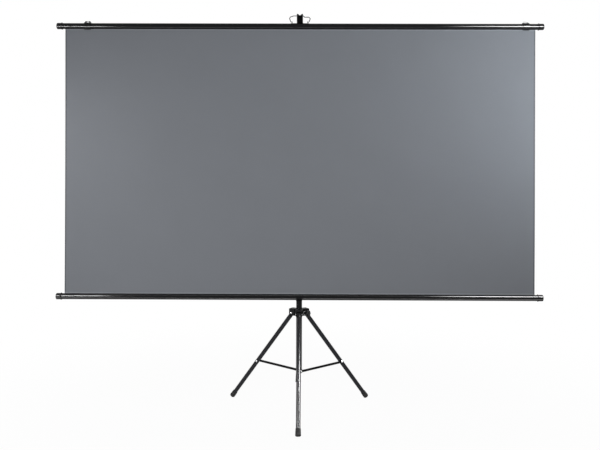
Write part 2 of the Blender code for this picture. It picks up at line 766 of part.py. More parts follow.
# Hanging gear
def build_saddle(upper, steel):
    inner = bar_radius + seat_gap
    outer = inner + saddle_thickness
    up = math.radians(90)
    outline = arc((0, 0), outer, up - saddle_half_angle, up + saddle_half_angle, saddle_steps)
    outline += arc((0, 0), inner, up + saddle_half_angle, up - saddle_half_angle, saddle_steps)
    centre = (0, -bar_offset, upper_bar_height)
    plate = prism(outline, saddle_length)
    saddle = place("bail_saddle", mesh_of(plate, "bail_saddle", steel, along_x), upper, centre)
    axis_height = bail_pivot - upper_bar_height
    half = saddle_tab_width / 2
    top = axis_height + saddle_tab_top
    root = inner + saddle_thickness / 2
    tab = [(-half, root), (half, root)] + arc((0, top - half), half, 0, math.radians(180), half_round_steps)
    for side, sign in (("left", -1), ("right", 1)):
        lay = Matrix.Translation((sign * (saddle_length / 2 - saddle_tab_inset), 0, 0)) @ along_x
        shape(saddle, "UNION", prism(tab, saddle_tab_thickness), "join_tab_" + side, lay, centre)
    drill = rod(bail_wire_radius + seat_gap, -saddle_length / 2, saddle_length / 2)
    lay = Matrix.Translation((0, 0, axis_height)) @ Matrix.Rotation(math.radians(90), 4, "Y")
    shape(saddle, "DIFFERENCE", drill, "cut_tab_holes", lay, centre)


def bail_route():
    """The wire's corners, left to right, as shares of its half width and of its height."""
    corner_shares = [
        (-0.700, 0.00), (-0.850, 0.00), (-1.000, 0.56), (-0.930, 0.82), (-0.600, 1.00),
        (0.335, 1.00), (0.440, 0.80), (0.860, 0.80), (1.000, 0.56), (0.860, 0.00), (0.700, 0.00),
    ]
    return [(x * bail_half_width, z * bail_height) for x, z in corner_shares]


def rounded_route(corners, radius):
    """A run of straight stretches whose inner corners are bent to a radius."""
    points = [corners[0]]
    for before, corner, after in zip(corners, corners[1:], corners[2:]):
        first = math.atan2(before[1] - corner[1], before[0] - corner[0])
        second = math.atan2(after[1] - corner[1], after[0] - corner[0])
        opening = (second - first + math.pi) % (2 * math.pi) - math.pi
        cut = radius / math.tan(abs(opening) / 2)
        room = min(math.dist(before, corner), math.dist(corner, after)) / 2
        cut = min(cut, room)
        bend = cut * math.tan(abs(opening) / 2)
        middle = first + opening / 2
        reach = math.hypot(cut, bend)
        centre = (corner[0] + reach * math.cos(middle), corner[1] + reach * math.sin(middle))
        start = math.atan2(corner[1] + cut * math.sin(first) - centre[1],
                           corner[0] + cut * math.cos(first) - centre[0])
        end = math.atan2(corner[1] + cut * math.sin(second) - centre[1],
                         corner[0] + cut * math.cos(second) - centre[0])
        sweep = (end - start + math.pi) % (2 * math.pi) - math.pi
        points += arc(centre, bend, start, start + sweep, corner_steps)
    return points + [corners[-1]]


def build_bail(upper, bright):
    route = rounded_route(bail_route(), bail_bend_radius)
    curve = bpy.data.curves.new("bail", "CURVE")
    curve.dimensions = "3D"
    curve.bevel_depth = bail_wire_radius
    curve.bevel_resolution = 2
    curve.use_fill_caps = True
    run = curve.splines.new("POLY")
    run.points.add(len(route) - 1)
    for point, (x, z) in zip(run.points, route):
        point.co = (x, 0, z, 1)
    curve.materials.append(bright)
    axis = frame_at("bail_axis", upper, (0, -bar_offset, bail_pivot))
    place("bail", curve, axis)
    return axis


def build_hook(upper, plastic, bright):
    """Cap on the mast, arm over the bar, throat for the bail and two upright prongs."""
    back = hook_throat / 2
    front = -hook_throat / 2
    face = front - hook_prong_thickness
    floor = throat_floor - bail_pivot
    low = hook_bottom - bail_pivot
    arm_top = floor + hook_back_height
    tip = floor + hook_prong_height
    root = bar_offset - upper_mast_radius
    outline = [(root, low), (face + hook_prong_thickness / 2, low), (face, low + hook_prong_thickness / 2)]
    outline += [(face, tip), (front - hook_prong_thickness / 3, tip), (front, floor), (back, floor)]
    outline += [(back, arm_top), (root, arm_top)]
    seat = (0, -bar_offset, bail_pivot)
    arm = prism(outline[::-1], hook_width)
    hook = place("hook_head", mesh_of(arm, "hook_head", plastic, along_x), upper, seat)
    cap_bore = upper_mast_radius + seat_gap
    cap_low = upper_mast_top - hook_cap_skirt
    cap_top = upper_mast_top + seat_gap + hook_cap_roof
    cap = rod(cap_bore + hook_cap_wall, cap_low, cap_top, fine_steps)
    shape(hook, "UNION", cap, "join_hook_cap")
    bore = rod(cap_bore, cap_low - overrun, upper_mast_top + seat_gap, fine_steps)
    shape(hook, "DIFFERENCE", bore, "cut_hook_bore")
    notch = box((-hook_prong_gap / 2, face - overrun, tip - hook_notch_depth),
                (hook_prong_gap / 2, front + overrun, tip + overrun))
    shape(hook, "DIFFERENCE", notch, "cut_hook_notch", None, seat)
    half = hook_width / 2
    inner = hook_prong_gap / 2
    slope = [(-half + hook_tip_slope, tip + overrun), (-inner, tip - hook_tip_slope),
             (inner, tip - hook_tip_slope), (half - hook_tip_slope, tip + overrun)]
    shape(hook, "DIFFERENCE", prism(slope, 2 * hook_prong_thickness), "cut_hook_tips", along_y,
          (0, -bar_offset + face + hook_prong_thickness / 2, bail_pivot))
    middle = upper_mast_top - hook_cap_skirt / 2
    rear = outward(math.radians(90))
    outer = cap_bore + hook_cap_wall
    hole = rod(pin_radius + seat_gap, 0, outer + overrun)
    shape(hook, "DIFFERENCE", hole, "cut_hook_screw_hole", None, (0, 0, middle), rear)
    place("hook_screw", mesh_of(rivet(outer - upper_mast_radius), "hook_screw", bright),
          upper, (0, outer + seat_gap, middle), rear)


def stand_on_origin(root):
    """Move the whole object so that the middle of its depth is at y = 0."""
    bpy.context.view_layer.update()
    depths = []
    for obj in bpy.data.objects:
        if obj.type in {"MESH", "CURVE"} and not obj.hide_render:
            depths += [(obj.matrix_world @ vert.co).y for vert in obj.to_mesh().vertices]
            obj.to_mesh_clear()
    root.location.y = -(min(depths) + max(depths)) / 2
    bpy.context.view_layer.update()


def main():
    clear_scene()
    black = paint("Black painted steel", (0.012, 0.012, 0.014), 0.28, 0.0)
    plastic = paint("Black moulded plastic", (0.014, 0.014, 0.015), 0.45, 0.0)
    rubber = paint("Black rubber", (0.02, 0.02, 0.021), 0.75, 0.0)
    bright = paint("Bright plated steel", (0.75, 0.75, 0.76), 0.22, 1.0)
    cloth = paint("Grey screen fabric", (0.18, 0.19, 0.21), 0.8, 0.0)
    white = paint("Pale plastic spline", (0.6, 0.6, 0.6), 0.5, 0.0)

    root = frame_at("screen_on_tripod", None)
    stand = frame_at("stand", root)
    hub_frame = frame_at("hub_slide", root, (0, 0, hub_height))
    mast = frame_at("mast", root)
    upper = frame_at("upper_mast", mast)

    build_pole(stand, black, plastic, bright)
    build_hub(hub_frame, plastic, bright)
    build_clamp("hub_knob", hub_frame, hub_boss_height, hub_knob_azimuth,
                pole_radius + seat_gap, hub_boss_reach + seat_gap,
                (knob_radius, knob_thickness, knob_neck_length), plastic, bright)
    build_clamp("pole_knob", stand, clamp_height, math.radians(90),
                mast_radius + seat_gap, pole_radius + clamp_boss_length + seat_gap,
                (small_knob_radius, small_knob_thickness, small_knob_neck_length), plastic, bright)
    for side in leg_azimuths:
        build_leg(side, hub_frame, black, plastic, rubber, bright)
        build_strut(side, stand, black, bright)

    build_bush("mast_foot_bush", mast, mast_radius, mast_bore, mast_foot, plastic)
    stud_height = build_mast(mast, upper, black, plastic)
    build_clamp("mast_knob", mast, stud_height, math.radians(90),
                upper_mast_radius + seat_gap, collar_boss_reach + seat_gap,
                (small_knob_radius, small_knob_thickness, small_knob_neck_length), plastic, bright)
    build_cradle(mast, black, bright)

    build_bar("lower", mast, lower_bar_height, math.radians(90), black, plastic, white)
    build_bar("upper", upper, upper_bar_height, math.radians(-90), black, plastic, white)
    build_fabric(mast, cloth)
    build_saddle(upper, black)
    build_bail(upper, bright)
    build_hook(upper, plastic, bright)
    build_clip("clip_left", upper, -screen_width / 2 + clip_left_inset, plastic)
    build_clip("clip_right", upper, screen_width / 2 - clip_right_inset, plastic)
    stand_on_origin(root)


main()
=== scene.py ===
"""Looks of the tripod projector screen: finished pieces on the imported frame, light, floor and camera.

Metres, +Z up. The screen faces -Y, its width runs along X, and the feet stand at z = 0.
"""
import math

import bmesh
import bpy
from mathutils import Matrix, Vector


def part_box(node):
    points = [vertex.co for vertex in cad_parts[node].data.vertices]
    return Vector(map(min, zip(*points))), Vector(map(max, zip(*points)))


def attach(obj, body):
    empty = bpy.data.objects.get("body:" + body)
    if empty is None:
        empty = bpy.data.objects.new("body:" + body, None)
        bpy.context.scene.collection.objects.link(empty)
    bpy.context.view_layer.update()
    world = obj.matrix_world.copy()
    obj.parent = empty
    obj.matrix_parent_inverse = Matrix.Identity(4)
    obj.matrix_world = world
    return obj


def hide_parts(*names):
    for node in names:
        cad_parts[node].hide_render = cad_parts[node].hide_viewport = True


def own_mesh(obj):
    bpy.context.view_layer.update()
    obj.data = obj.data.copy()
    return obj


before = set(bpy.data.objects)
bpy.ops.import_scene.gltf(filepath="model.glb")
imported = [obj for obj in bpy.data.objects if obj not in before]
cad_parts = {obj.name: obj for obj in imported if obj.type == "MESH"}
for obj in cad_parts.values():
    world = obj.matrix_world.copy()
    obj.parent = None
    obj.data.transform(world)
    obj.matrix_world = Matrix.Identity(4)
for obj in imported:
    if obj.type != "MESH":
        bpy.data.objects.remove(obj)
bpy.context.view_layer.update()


def middle(node):
    low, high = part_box(node)
    return (low + high) / 2


def span(node, axis):
    low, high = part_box(node)
    return low[axis], high[axis]


def mid_height(node):
    low, high = span(node, 2)
    return (low + high) / 2


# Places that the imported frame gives
POLE_Y = middle("pole_tube").y
BAR_Y = middle("lower_bar_tube").y
LOWER_BAR_Z = mid_height("lower_bar_cap_left")
UPPER_BAR_Z = mid_height("upper_bar_cap_left")
POLE_BOTTOM, POLE_TOP = span("pole_tube", 2)
MAST_TOP = span("mast_lower_tube", 2)[1]
UPPER_MAST_TOP = span("mast_upper_tube", 2)[1]
BAR_END = span("lower_bar_tube", 0)[1]
FABRIC_LOW, FABRIC_HIGH = span("screen_fabric", 2)
FABRIC_HEIGHT = FABRIC_HIGH - FABRIC_LOW
HUB_Z = mid_height("leg_front_pivot_pin")
STRUT_ROOT_Z = mid_height("strut_front_root_screw")
CLAMP_Z = mid_height("pole_knob")
MAST_CLAMP_Z = mid_height("mast_knob")
CLIP_LEFT_X = middle("clip_left").x
CLIP_RIGHT_X = middle("clip_right").x

# Sizes of the pieces
FIT = 0.0003
BAR_RADIUS = 0.014
BAR_WALL = 0.0014
BAR_SLOT = 0.003
SCREEN_WIDTH = 2.214
FABRIC_THICKNESS = 0.00045
POLE_RADIUS = 0.014
TUBE_WALL = 0.0012
MAST_RADIUS = 0.0125
UPPER_MAST_RADIUS = 0.011
LEG_RADIUS = 0.010
LEG_WALL = 0.0012
LEG_LENGTH = 0.572
LEG_SPREAD = math.radians(37.95)
LEG_TUBE_START = 0.020
FOOT_LENGTH = 0.032
FOOT_SOLE = 0.004
FOOT_RADIUS = 0.0125
FOOT_EDGE = 0.003
PIVOT_RADIUS = 0.035
STRUT_REACH = 0.3262
STRUT_TILT = math.radians(4.4)
STRUT_ROOT_RADIUS = 0.005
STRUT_LENGTH = 0.23129
STRUT_HEIGHT = 0.011
STRUT_THICKNESS = 0.003
PIN_RADIUS = 0.0025
HEAD_RADIUS = 0.0042
HEAD_HEIGHT = 0.0016
PIN_HOLE = 0.0028
STUD_HOLE = 0.0033
STUD_FLANGE = 0.0016
EAR_RADIUS = 0.0125
EAR_WALL = 0.0045
HUB_WALL = 0.0062
HUB_TOP = 0.0215
HUB_CORE = 0.0172
HUB_BOSS_END = 0.0285
HUB_KNOB_RISE = 0.003
HUB_KNOB_TURN = math.radians(-30)
CLAMP_BOSS_RADIUS = 0.008
SADDLE_WALL = 0.0012
BAIL_HEIGHT = 0.0292
BAIL_HALF = 0.049
WIRE = 0.0018
BAIL_PIVOT = UPPER_BAR_Z + BAR_RADIUS + FIT + SADDLE_WALL + 0.005

AZIMUTHS = {"front": math.radians(-90), "right": math.radians(30), "left": math.radians(150)}
RIGHT_ANGLE = math.radians(90)
LAY_ALONG_X = Matrix(((0, 0, 1, 0), (1, 0, 0, 0), (0, 1, 0, 0), (0, 0, 0, 1)))


def moved(x, y, z):
    return Matrix.Translation((x, y, z))


def turned(angle, axis):
    return Matrix.Rotation(angle, 4, axis)


def at_pole(height=0.0):
    return moved(0, POLE_Y, height)


LAY_ALONG_Y = turned(RIGHT_ANGLE, "X")
FACE_BACK = turned(-RIGHT_ANGLE, "X")
FACE_RIGHT = turned(RIGHT_ANGLE, "Y")
FACE_KNOB = turned(HUB_KNOB_TURN + RIGHT_ANGLE, "Z") @ turned(RIGHT_ANGLE, "X")


# Camera, set by the photograph's framing
CAMERA_DISTANCE = 3.7
CAMERA_HEIGHT = 1.167
CAMERA_ASIDE = 0.0024
CAMERA_TURN = math.radians(0.38)
CAMERA_ROLL = math.radians(0.17)
FOCAL_PIXELS = 785.3
FRAME_WIDTH = 600
FRAME_HEIGHT = 450
HORIZON_ROW = 163.6


def make_camera():
    data = bpy.data.cameras.new("front_view")
    data.sensor_fit = "HORIZONTAL"
    data.sensor_width = 36
    data.lens = FOCAL_PIXELS / FRAME_WIDTH * data.sensor_width
    data.shift_y = (HORIZON_ROW - FRAME_HEIGHT / 2) / FRAME_WIDTH
    data.clip_start = 0.05
    data.clip_end = 100
    camera = bpy.data.objects.new("front_view", data)
    camera.location = (CAMERA_DISTANCE * math.sin(CAMERA_TURN) + CAMERA_ASIDE,
                       BAR_Y - CAMERA_DISTANCE * math.cos(CAMERA_TURN), CAMERA_HEIGHT)
    camera.rotation_euler = (RIGHT_ANGLE, -CAMERA_ROLL, CAMERA_TURN)
    bpy.context.scene.collection.objects.link(camera)
    bpy.context.scene.camera = camera


make_camera()


# Node trees
class Value:
    """A number in a node tree. Arithmetic on it adds Math nodes."""

    def __init__(self, tree, socket):
        self.tree = tree
        self.socket = socket

    def _math(self, operation, *terms):
        node = self.tree.nodes.new("ShaderNodeMath")
        node.operation = operation
        for slot, term in zip(node.inputs, terms):
            if isinstance(term, Value):
                self.tree.links.new(term.socket, slot)
            else:
                slot.default_value = term
        return Value(self.tree, node.outputs[0])

    def __add__(self, other):
        return self._math("ADD", self, other)

    __radd__ = __add__

    def __sub__(self, other):
        return self._math("SUBTRACT", self, other)

    def __rsub__(self, other):
        return self._math("SUBTRACT", other, self)

    def __mul__(self, other):
        return self._math("MULTIPLY", self, other)

    __rmul__ = __mul__

    def __truediv__(self, other):
        return self._math("DIVIDE", self, other)

    def power(self, exponent):
        return self._math("POWER", self, exponent)

    def size(self):
        return self._math("ABSOLUTE", self)

    def sine(self):
        return self._math("SINE", self)

    def cosine(self):
        return self._math("COSINE", self)

    def held(self, low, high):
        return self._math("MINIMUM", self._math("MAXIMUM", self, low), high)

    def step(self, low, high):
        """0 below low, 1 above high, smooth between them."""
        node = self.tree.nodes.new("ShaderNodeMapRange")
        node.interpolation_type = "SMOOTHSTEP"
        self.tree.links.new(self.socket, node.inputs["Value"])
        node.inputs["From Min"].default_value = low
        node.inputs["From Max"].default_value = high
        return Value(self.tree, node.outputs["Result"])


class Tree:
    """A node tree, and the one call that adds a node to it."""

    def __init__(self, tree):
        self.tree = tree

    def node(self, kind, settings=(), sockets=()):
        """A node of that kind: its settings first, then the values or links of its sockets."""
        node = self.tree.nodes.new(kind)
        for name, value in dict(settings).items():
            setattr(node, name, value)
        for name, value in dict(sockets).items():
            slot = node.inputs[name]
            if isinstance(value, Value):
                self.tree.links.new(value.socket, slot)
            elif isinstance(value, bpy.types.NodeSocket):
                self.tree.links.new(value, slot)
            else:
                slot.default_value = value
        return node

    def out(self, node, name):
        return Value(self.tree, node.outputs[name])

    def seen(self):
        """1 for rays from the camera, a mirror or glass, 0 for rays that light a surface."""
        path = self.node("ShaderNodeLightPath")
        return (self.out(path, "Is Camera Ray") + self.out(path, "Is Glossy Ray")
                + self.out(path, "Is Transmission Ray")).held(0, 1)


class Finish(Tree):
    """A procedural material and the record's slot it belongs to."""

    def __init__(self, name, slot, colour, roughness, metallic=0.0, gloss=0.5, **constants):
        self.slot = slot
        self.material = bpy.data.materials.new(name)
        self.material.use_nodes = True
        super().__init__(self.material.node_tree)
        self.shader = self.tree.nodes["Principled BSDF"]
        constants.update(Base_Color=(*colour, 1), Roughness=roughness, Metallic=metallic,
                         Specular_IOR_Level=gloss)
        for socket, value in constants.items():
            self.shader.inputs[socket.replace("_", " ")].default_value = value

    def place(self, source="Object"):
        return self.node("ShaderNodeTexCoord").outputs[source]

    def parts_of(self, vector):
        """The three numbers of a vector."""
        split = self.node("ShaderNodeSeparateXYZ", (), {"Vector": vector})
        return [self.out(split, axis) for axis in "XYZ"]

    def stretched(self, vector, scale):
        mapping = self.node("ShaderNodeMapping", (), {"Vector": vector, "Scale": scale})
        return mapping.outputs["Vector"]

    def noise(self, vector, scale, detail=2.0, roughness=0.5):
        node = self.node("ShaderNodeTexNoise", (), {
            "Vector": vector, "Scale": scale, "Detail": detail, "Roughness": roughness})
        return self.out(node, "Fac")

    def blend(self, factor, first, second):
        node = self.node("ShaderNodeMix", {"data_type": "RGBA"}, {"Factor": factor})
        for slot, colour in (("A", first), ("B", second)):
            socket = [s for s in node.inputs if s.name == slot and s.type == "RGBA"][0]
            if isinstance(colour, bpy.types.NodeSocket):
                self.tree.links.new(colour, socket)
            else:
                socket.default_value = (*colour, 1)
        return [s for s in node.outputs if s.type == "RGBA"][0]

    def feed(self, socket, value):
        source = value.socket if isinstance(value, Value) else value
        self.tree.links.new(source, self.shader.inputs[socket])

    def relief(self, height, distance, strength=1.0):
        bump = self.node("ShaderNodeBump", (), {"Height": height, "Distance": distance, "Strength": strength})
        self.tree.links.new(bump.outputs["Normal"], self.shader.inputs["Normal"])


def paint_finish(name, along, tone=0.0055, gloss=0.09, roughness=0.09):
    """Glossy black paint on drawn tube, with faint draw lines along one direction and a little dust."""
    black = (tone, tone, tone * 1.13)
    dusty = (tone + 0.008, tone + 0.008, tone + 0.0085)
    finish = Finish(name, "black_paint", black, 0.2, 0.0, gloss)
    place = finish.place()
    peel = finish.noise(place, 420, 2, 0.45)
    lines = finish.noise(finish.stretched(place, along), 1, 3, 0.6)
    dust = finish.noise(place, 900, 4, 0.7).step(0.60, 0.74)
    finish.feed("Roughness", roughness + 0.04 * peel + 0.05 * lines + 0.08 * dust)
    worn = finish.noise(place, 36, 3, 0.6).step(0.55, 0.75) * 0.5
    finish.feed("Base Color", finish.blend((dust * 0.40 + worn * 0.30).held(0, 1), black, dusty))
    finish.relief(peel * 0.5 + lines * 0.5, 0.000008, 0.35)
    return finish


def plastic_finish(name, colour, slot="black_plastic", roughness=0.38, gloss=0.08, texture=0.00006):
    """Moulded plastic with a fine spark-eroded grain."""
    finish = Finish(name, slot, colour, roughness, 0.0, gloss)
    place = finish.place()
    grain = finish.noise(place, 2600, 2, 0.6)
    cloud = finish.noise(place, 90, 3, 0.55)
    finish.feed("Roughness", roughness - 0.06 + 0.12 * cloud + 0.06 * grain)
    paler = tuple(c * 2.2 for c in colour)
    finish.feed("Base Color", finish.blend((cloud * 0.5 + grain * 0.3).held(0, 1), colour, paler))
    finish.relief(grain, texture, 0.5)
    return finish


def rubber_finish():
    finish = Finish("matt_black_rubber", "black_rubber", (0.011, 0.011, 0.012), 0.7, gloss=0.15)
    place = finish.place()
    grain = finish.noise(place, 1500, 3, 0.65)
    bloom = finish.noise(place, 130, 3, 0.6)
    height = finish.parts_of(place)[2]
    scuff = (1 - height.step(0.002, 0.016)) * finish.noise(place, 420, 4, 0.7)
    finish.feed("Roughness", 0.58 + 0.16 * bloom + 0.1 * scuff)
    finish.feed("Base Color", finish.blend(
        (bloom * 0.30 + scuff * 0.8).held(0, 1), (0.009, 0.009, 0.0095), (0.040, 0.038, 0.036)))
    finish.relief(grain, 0.0001, 0.6)
    return finish


def steel_finish(name, bright, dull, metallic=1.0, gloss=0.5):
    finish = Finish(name, "plated_steel", bright, 0.2, metallic, gloss)
    place = finish.place()
    hair = finish.noise(finish.stretched(place, (300, 2600, 2600)), 1, 3, 0.6)
    cloud = finish.noise(place, 260, 3, 0.6)
    finish.feed("Roughness", 0.14 + 0.16 * cloud + 0.08 * hair)
    finish.feed("Base Color", finish.blend(cloud.step(0.35, 0.75), bright, dull))
    finish.relief(hair, 0.00002, 0.4)
    return finish


def fabric_front_finish():
    """Grey woven screen cloth, darker in a band along each side, with a painted highlight: a lighter strip
    along the cloth next to each bar.
    """
    finish = Finish("grey_screen_cloth", "grey_fabric", (0.2, 0.21, 0.23), 0.85, gloss=0.04,
                    Sheen_Weight=0.05, Sheen_Roughness=0.5)
    across, up, _ = finish.parts_of(finish.place("UV"))
    metres_across = (across - 0.5) * SCREEN_WIDTH
    metres_up = up * FABRIC_HEIGHT
    thread = 2 * math.pi / 0.0009
    warp = (metres_across * thread).sine()
    weft = (metres_up * thread).sine()
    weave = warp * weft
    cloth_place = finish.stretched(finish.place("UV"), (SCREEN_WIDTH, FABRIC_HEIGHT, 1))
    slub = finish.noise(finish.stretched(cloth_place, (8, 500, 1)), 1, 3, 0.6)
    mottle = finish.noise(cloth_place, 5, 3, 0.5)
    # A darker band along each side edge of the cloth.
    side = (metres_across.size()).step(SCREEN_WIDTH / 2 - 0.0064, SCREEN_WIDTH / 2 - 0.0052)
    # A lighter strip along the bottom and top edges of the cloth, next to the bars: painted highlight.
    painted_highlight_low = 1 - metres_up.step(0.0070, 0.0078)
    painted_highlight_high = metres_up.step(FABRIC_HEIGHT - 0.0066, FABRIC_HEIGHT - 0.0056)
    tone = 0.5 + (mottle - 0.5) * 0.20 + (slub - 0.5) * 0.10 + weave * 0.05
    base = finish.blend(tone.held(0, 1), (0.143, 0.150, 0.163), (0.197, 0.207, 0.225))
    darker_at_sides = finish.blend(side * 0.62, base, (0.055, 0.058, 0.064))
    with_painted_highlight = finish.blend((painted_highlight_low + painted_highlight_high).held(0, 1) * 0.40, darker_at_sides, (0.30, 0.31, 0.33))
    finish.feed("Base Color", with_painted_highlight)
    finish.feed("Roughness", 0.80 + 0.08 * slub + 0.04 * weave)
    finish.relief(weave * 0.5 + slub * 0.5, 0.00008, 0.35)
    return finish


def fabric_back_finish():
    """The black light-proof coating on the back of the cloth."""
    finish = Finish("black_cloth_backing", "grey_fabric", (0.016, 0.016, 0.018), 0.7, gloss=0.3)
    cloth_place = finish.stretched(finish.place("UV"), (SCREEN_WIDTH, FABRIC_HEIGHT, 1))
    grain = finish.noise(cloth_place, 1400, 3, 0.6)
    cloud = finish.noise(cloth_place, 4, 4, 0.55)
    finish.feed("Roughness", 0.58 + 0.16 * cloud + 0.06 * grain)
    finish.feed("Base Color", finish.blend(
        cloud.step(0.3, 0.75), (0.013, 0.013, 0.015), (0.024, 0.024, 0.027)))
    finish.relief(grain, 0.00008, 0.5)
    return finish


BAR_PAINT = paint_finish("black_paint_on_bars", (1.5, 700, 700))
MAST_PAINT = paint_finish("black_paint_on_mast", (700, 700, 1.5))
# The legs' black paint has about four times the tone of the bars' paint: painted reflection, a lighter tone
# in place of the white surroundings mirrored in glossy black paint.
LEG_PAINT_WITH_PAINTED_REFLECTION = paint_finish("black_paint_on_legs", (160, 160, 160), 0.0240, 0.08, 0.15)
SHEET_PAINT = paint_finish("black_paint_on_sheet", (60, 60, 60), 0.0050, 0.08)
PLASTIC = plastic_finish("black_moulded_plastic", (0.0034, 0.0034, 0.0038))
KNOB_PLASTIC = plastic_finish("black_knob_plastic", (0.0044, 0.0044, 0.0049), roughness=0.30)
CAP_PLASTIC = plastic_finish("polished_black_plastic", (0.0040, 0.0040, 0.0044), roughness=0.14, gloss=0.09,
                             texture=0.000006)
MATT_PLASTIC = plastic_finish("matt_black_plastic", (0.0014, 0.0014, 0.0015), roughness=0.46, gloss=0.02)
RUBBER = rubber_finish()
STEEL = steel_finish("bright_plated_steel", (0.74, 0.74, 0.75), (0.56, 0.56, 0.56))
WIRE_STEEL = steel_finish("blackened_wire", (0.010, 0.010, 0.011), (0.007, 0.007, 0.008), 0.0, 0.03)
SPLINE = plastic_finish("pale_cord_plastic", (0.52, 0.52, 0.50), "pale_plastic", 0.5)
CLOTH = fabric_front_finish()
BACKING = fabric_back_finish()


# Mesh building
def arc(centre, radius, start, end, steps):
    turns = [start + (end - start) * i / steps for i in range(steps + 1)]
    return [(centre[0] + radius * math.cos(t), centre[1] + radius * math.sin(t)) for t in turns]


def eased(profile, radius, steps=3):
    """A profile whose inner corners are rounded to a radius, or to what fits."""
    points = [profile[0]]
    for before, corner, after in zip(profile, profile[1:], profile[2:]):
        start = Vector(before) - Vector(corner)
        end = Vector(after) - Vector(corner)
        opening = start.angle(end, math.pi)
        if opening > math.radians(172) or start.length == 0 or end.length == 0:
            points.append(corner)
            continue
        cut = min(radius / math.tan(opening / 2), start.length * 0.45, end.length * 0.45)
        first = Vector(corner) + start.normalized() * cut
        last = Vector(corner) + end.normalized() * cut
        for i in range(steps + 1):
            t = i / steps
            bend = first.lerp(Vector(corner), t).lerp(Vector(corner).lerp(last, t), t)
            points.append((bend.x, bend.y))
    return points + [profile[-1]]


def lathe(profile, steps=48, place=None):
    """A solid of revolution round Z. A profile that starts off the axis is a closed ring."""
    bm = bmesh.new()
    rings = []
    for radius, height in profile:
        if radius < 1e-9:
            rings.append([bm.verts.new((0, 0, height))])
        else:
            rings.append([
                bm.verts.new((radius * math.cos(2 * math.pi * i / steps),
                              radius * math.sin(2 * math.pi * i / steps), height))
                for i in range(steps)
            ])
    pairs = list(zip(rings, rings[1:]))
    if profile[0][0] > 1e-9:
        pairs.append((rings[-1], rings[0]))
    for low, high in pairs:
        for i in range(steps):
            j = (i + 1) % steps
            corners = [low[i % len(low)], low[j % len(low)], high[j % len(high)], high[i % len(high)]]
            corners = list(dict.fromkeys(corners))
            if len(corners) > 2:
                bm.faces.new(corners)
    return placed(bm, place)


def placed(bm, place):
    if place is not None:
        bmesh.ops.transform(bm, matrix=place, verts=bm.verts)
    bmesh.ops.recalc_face_normals(bm, faces=bm.faces)
    return bm


def cylinder(radius, low, high, steps, place=None):
    return lathe([(0, low), (radius, low), (radius, high), (0, high)], steps, place)


def prism(outline, depth, place=None):
    """An outline in XY, extruded half of depth each way along Z."""
    bm = bmesh.new()
    low = [bm.verts.new((x, y, -depth / 2)) for x, y in outline]
    high = [bm.verts.new((x, y, depth / 2)) for x, y in outline]
    bm.faces.new(low)
    bm.faces.new(high[::-1])
    for i in range(len(outline)):
        j = (i + 1) % len(outline)
        bm.faces.new((low[i], low[j], high[j], high[i]))
    return placed(bm, place)


def block(low, high, place=None):
    bm = bmesh.new()
    bmesh.ops.create_cube(bm, size=1)
    bmesh.ops.scale(bm, vec=[b - a for a, b in zip(low, high)], verts=bm.verts)
    bmesh.ops.translate(bm, vec=[(a + b) / 2 for a, b in zip(low, high)], verts=bm.verts)
    return placed(bm, place)


def held_mesh(bm, name):
    mesh = bpy.data.meshes.new(name)
    bm.to_mesh(mesh)
    bm.free()
    return mesh


def settled(obj, name):
    """The mesh of an object once its modifiers have run."""
    graph = bpy.context.evaluated_depsgraph_get()
    mesh = bpy.data.meshes.new_from_object(obj.evaluated_get(graph))
    mesh.name = name
    return mesh


def scratch(mesh):
    obj = bpy.data.objects.new("work", mesh)
    bpy.context.scene.collection.objects.link(obj)
    return obj


def carved(base, name, joins=(), cuts=()):
    """A solid with the joins added to it, and then the cuts taken out of it."""
    work = scratch(held_mesh(base, name))
    tools = []
    for operation, solids in (("UNION", joins), ("DIFFERENCE", cuts)):
        for solid in solids:
            tools.append(scratch(held_mesh(solid, "tool")))
            modifier = work.modifiers.new("step", "BOOLEAN")
            modifier.operation = operation
            modifier.object = tools[-1]
    mesh = settled(work, name)
    for tool in tools:
        bpy.data.objects.remove(tool)
    bpy.data.objects.remove(work)
    return mesh


class Maker(Tree):
    """A geometry tree with named inputs, and the call that turns it into a plain mesh."""

    def __init__(self, name, inputs):
        super().__init__(bpy.data.node_groups.new(name, "GeometryNodeTree"))
        face = self.tree.interface
        face.new_socket("Geometry", in_out="OUTPUT", socket_type="NodeSocketGeometry")
        face.new_socket("Geometry", in_out="INPUT", socket_type="NodeSocketGeometry")
        self.keys = {}
        for label, kind in {**inputs, "Finish": "Material"}.items():
            socket = face.new_socket(label, in_out="INPUT", socket_type="NodeSocket" + kind)
            self.keys[label] = socket.identifier
        self.source = self.node("NodeGroupInput")

    def given(self, label):
        return self.out(self.source, label)

    def vector(self, **parts):
        return self.node("ShaderNodeCombineXYZ", (), parts).outputs["Vector"]

    def number(self):
        """Each copy's number, from 0."""
        return self.out(self.node("GeometryNodeInputIndex"), "Index")

    def close_with_copies(self, position, **placing):
        """Ends the tree with Count copies of the mesh it is given, each at its position."""
        points = self.node("GeometryNodeMeshLine", {"mode": "OFFSET"}, {
            "Count": self.given("Count"), "Offset": (0, 0, 0)})
        spread = self.node("GeometryNodeSetPosition", (), {
            "Geometry": points.outputs["Mesh"], "Position": position})
        copies = self.node("GeometryNodeInstanceOnPoints", (), {
            "Points": spread.outputs["Geometry"], "Instance": self.source.outputs["Geometry"], **placing})
        self.close(copies.outputs["Instances"])

    def close(self, geometry):
        """Ends the tree: real geometry, with its material."""
        real = self.node("GeometryNodeRealizeInstances", (), {"Geometry": geometry})
        set_finish = self.node("GeometryNodeSetMaterial", (), {
            "Geometry": real.outputs["Geometry"], "Material": self.source.outputs["Finish"]})
        self.node("NodeGroupOutput", (), {"Geometry": set_finish.outputs["Geometry"]})

    def make(self, name, start, finish, **values):
        work = scratch(start if start else bpy.data.meshes.new(name))
        modifier = work.modifiers.new(name, "NODES")
        modifier.node_group = self.tree
        modifier[self.keys["Finish"]] = finish.material
        for label, value in values.items():
            modifier[self.keys[label.replace("_", " ")]] = value
        mesh = settled(work, name)
        bpy.data.objects.remove(work)
        return mesh


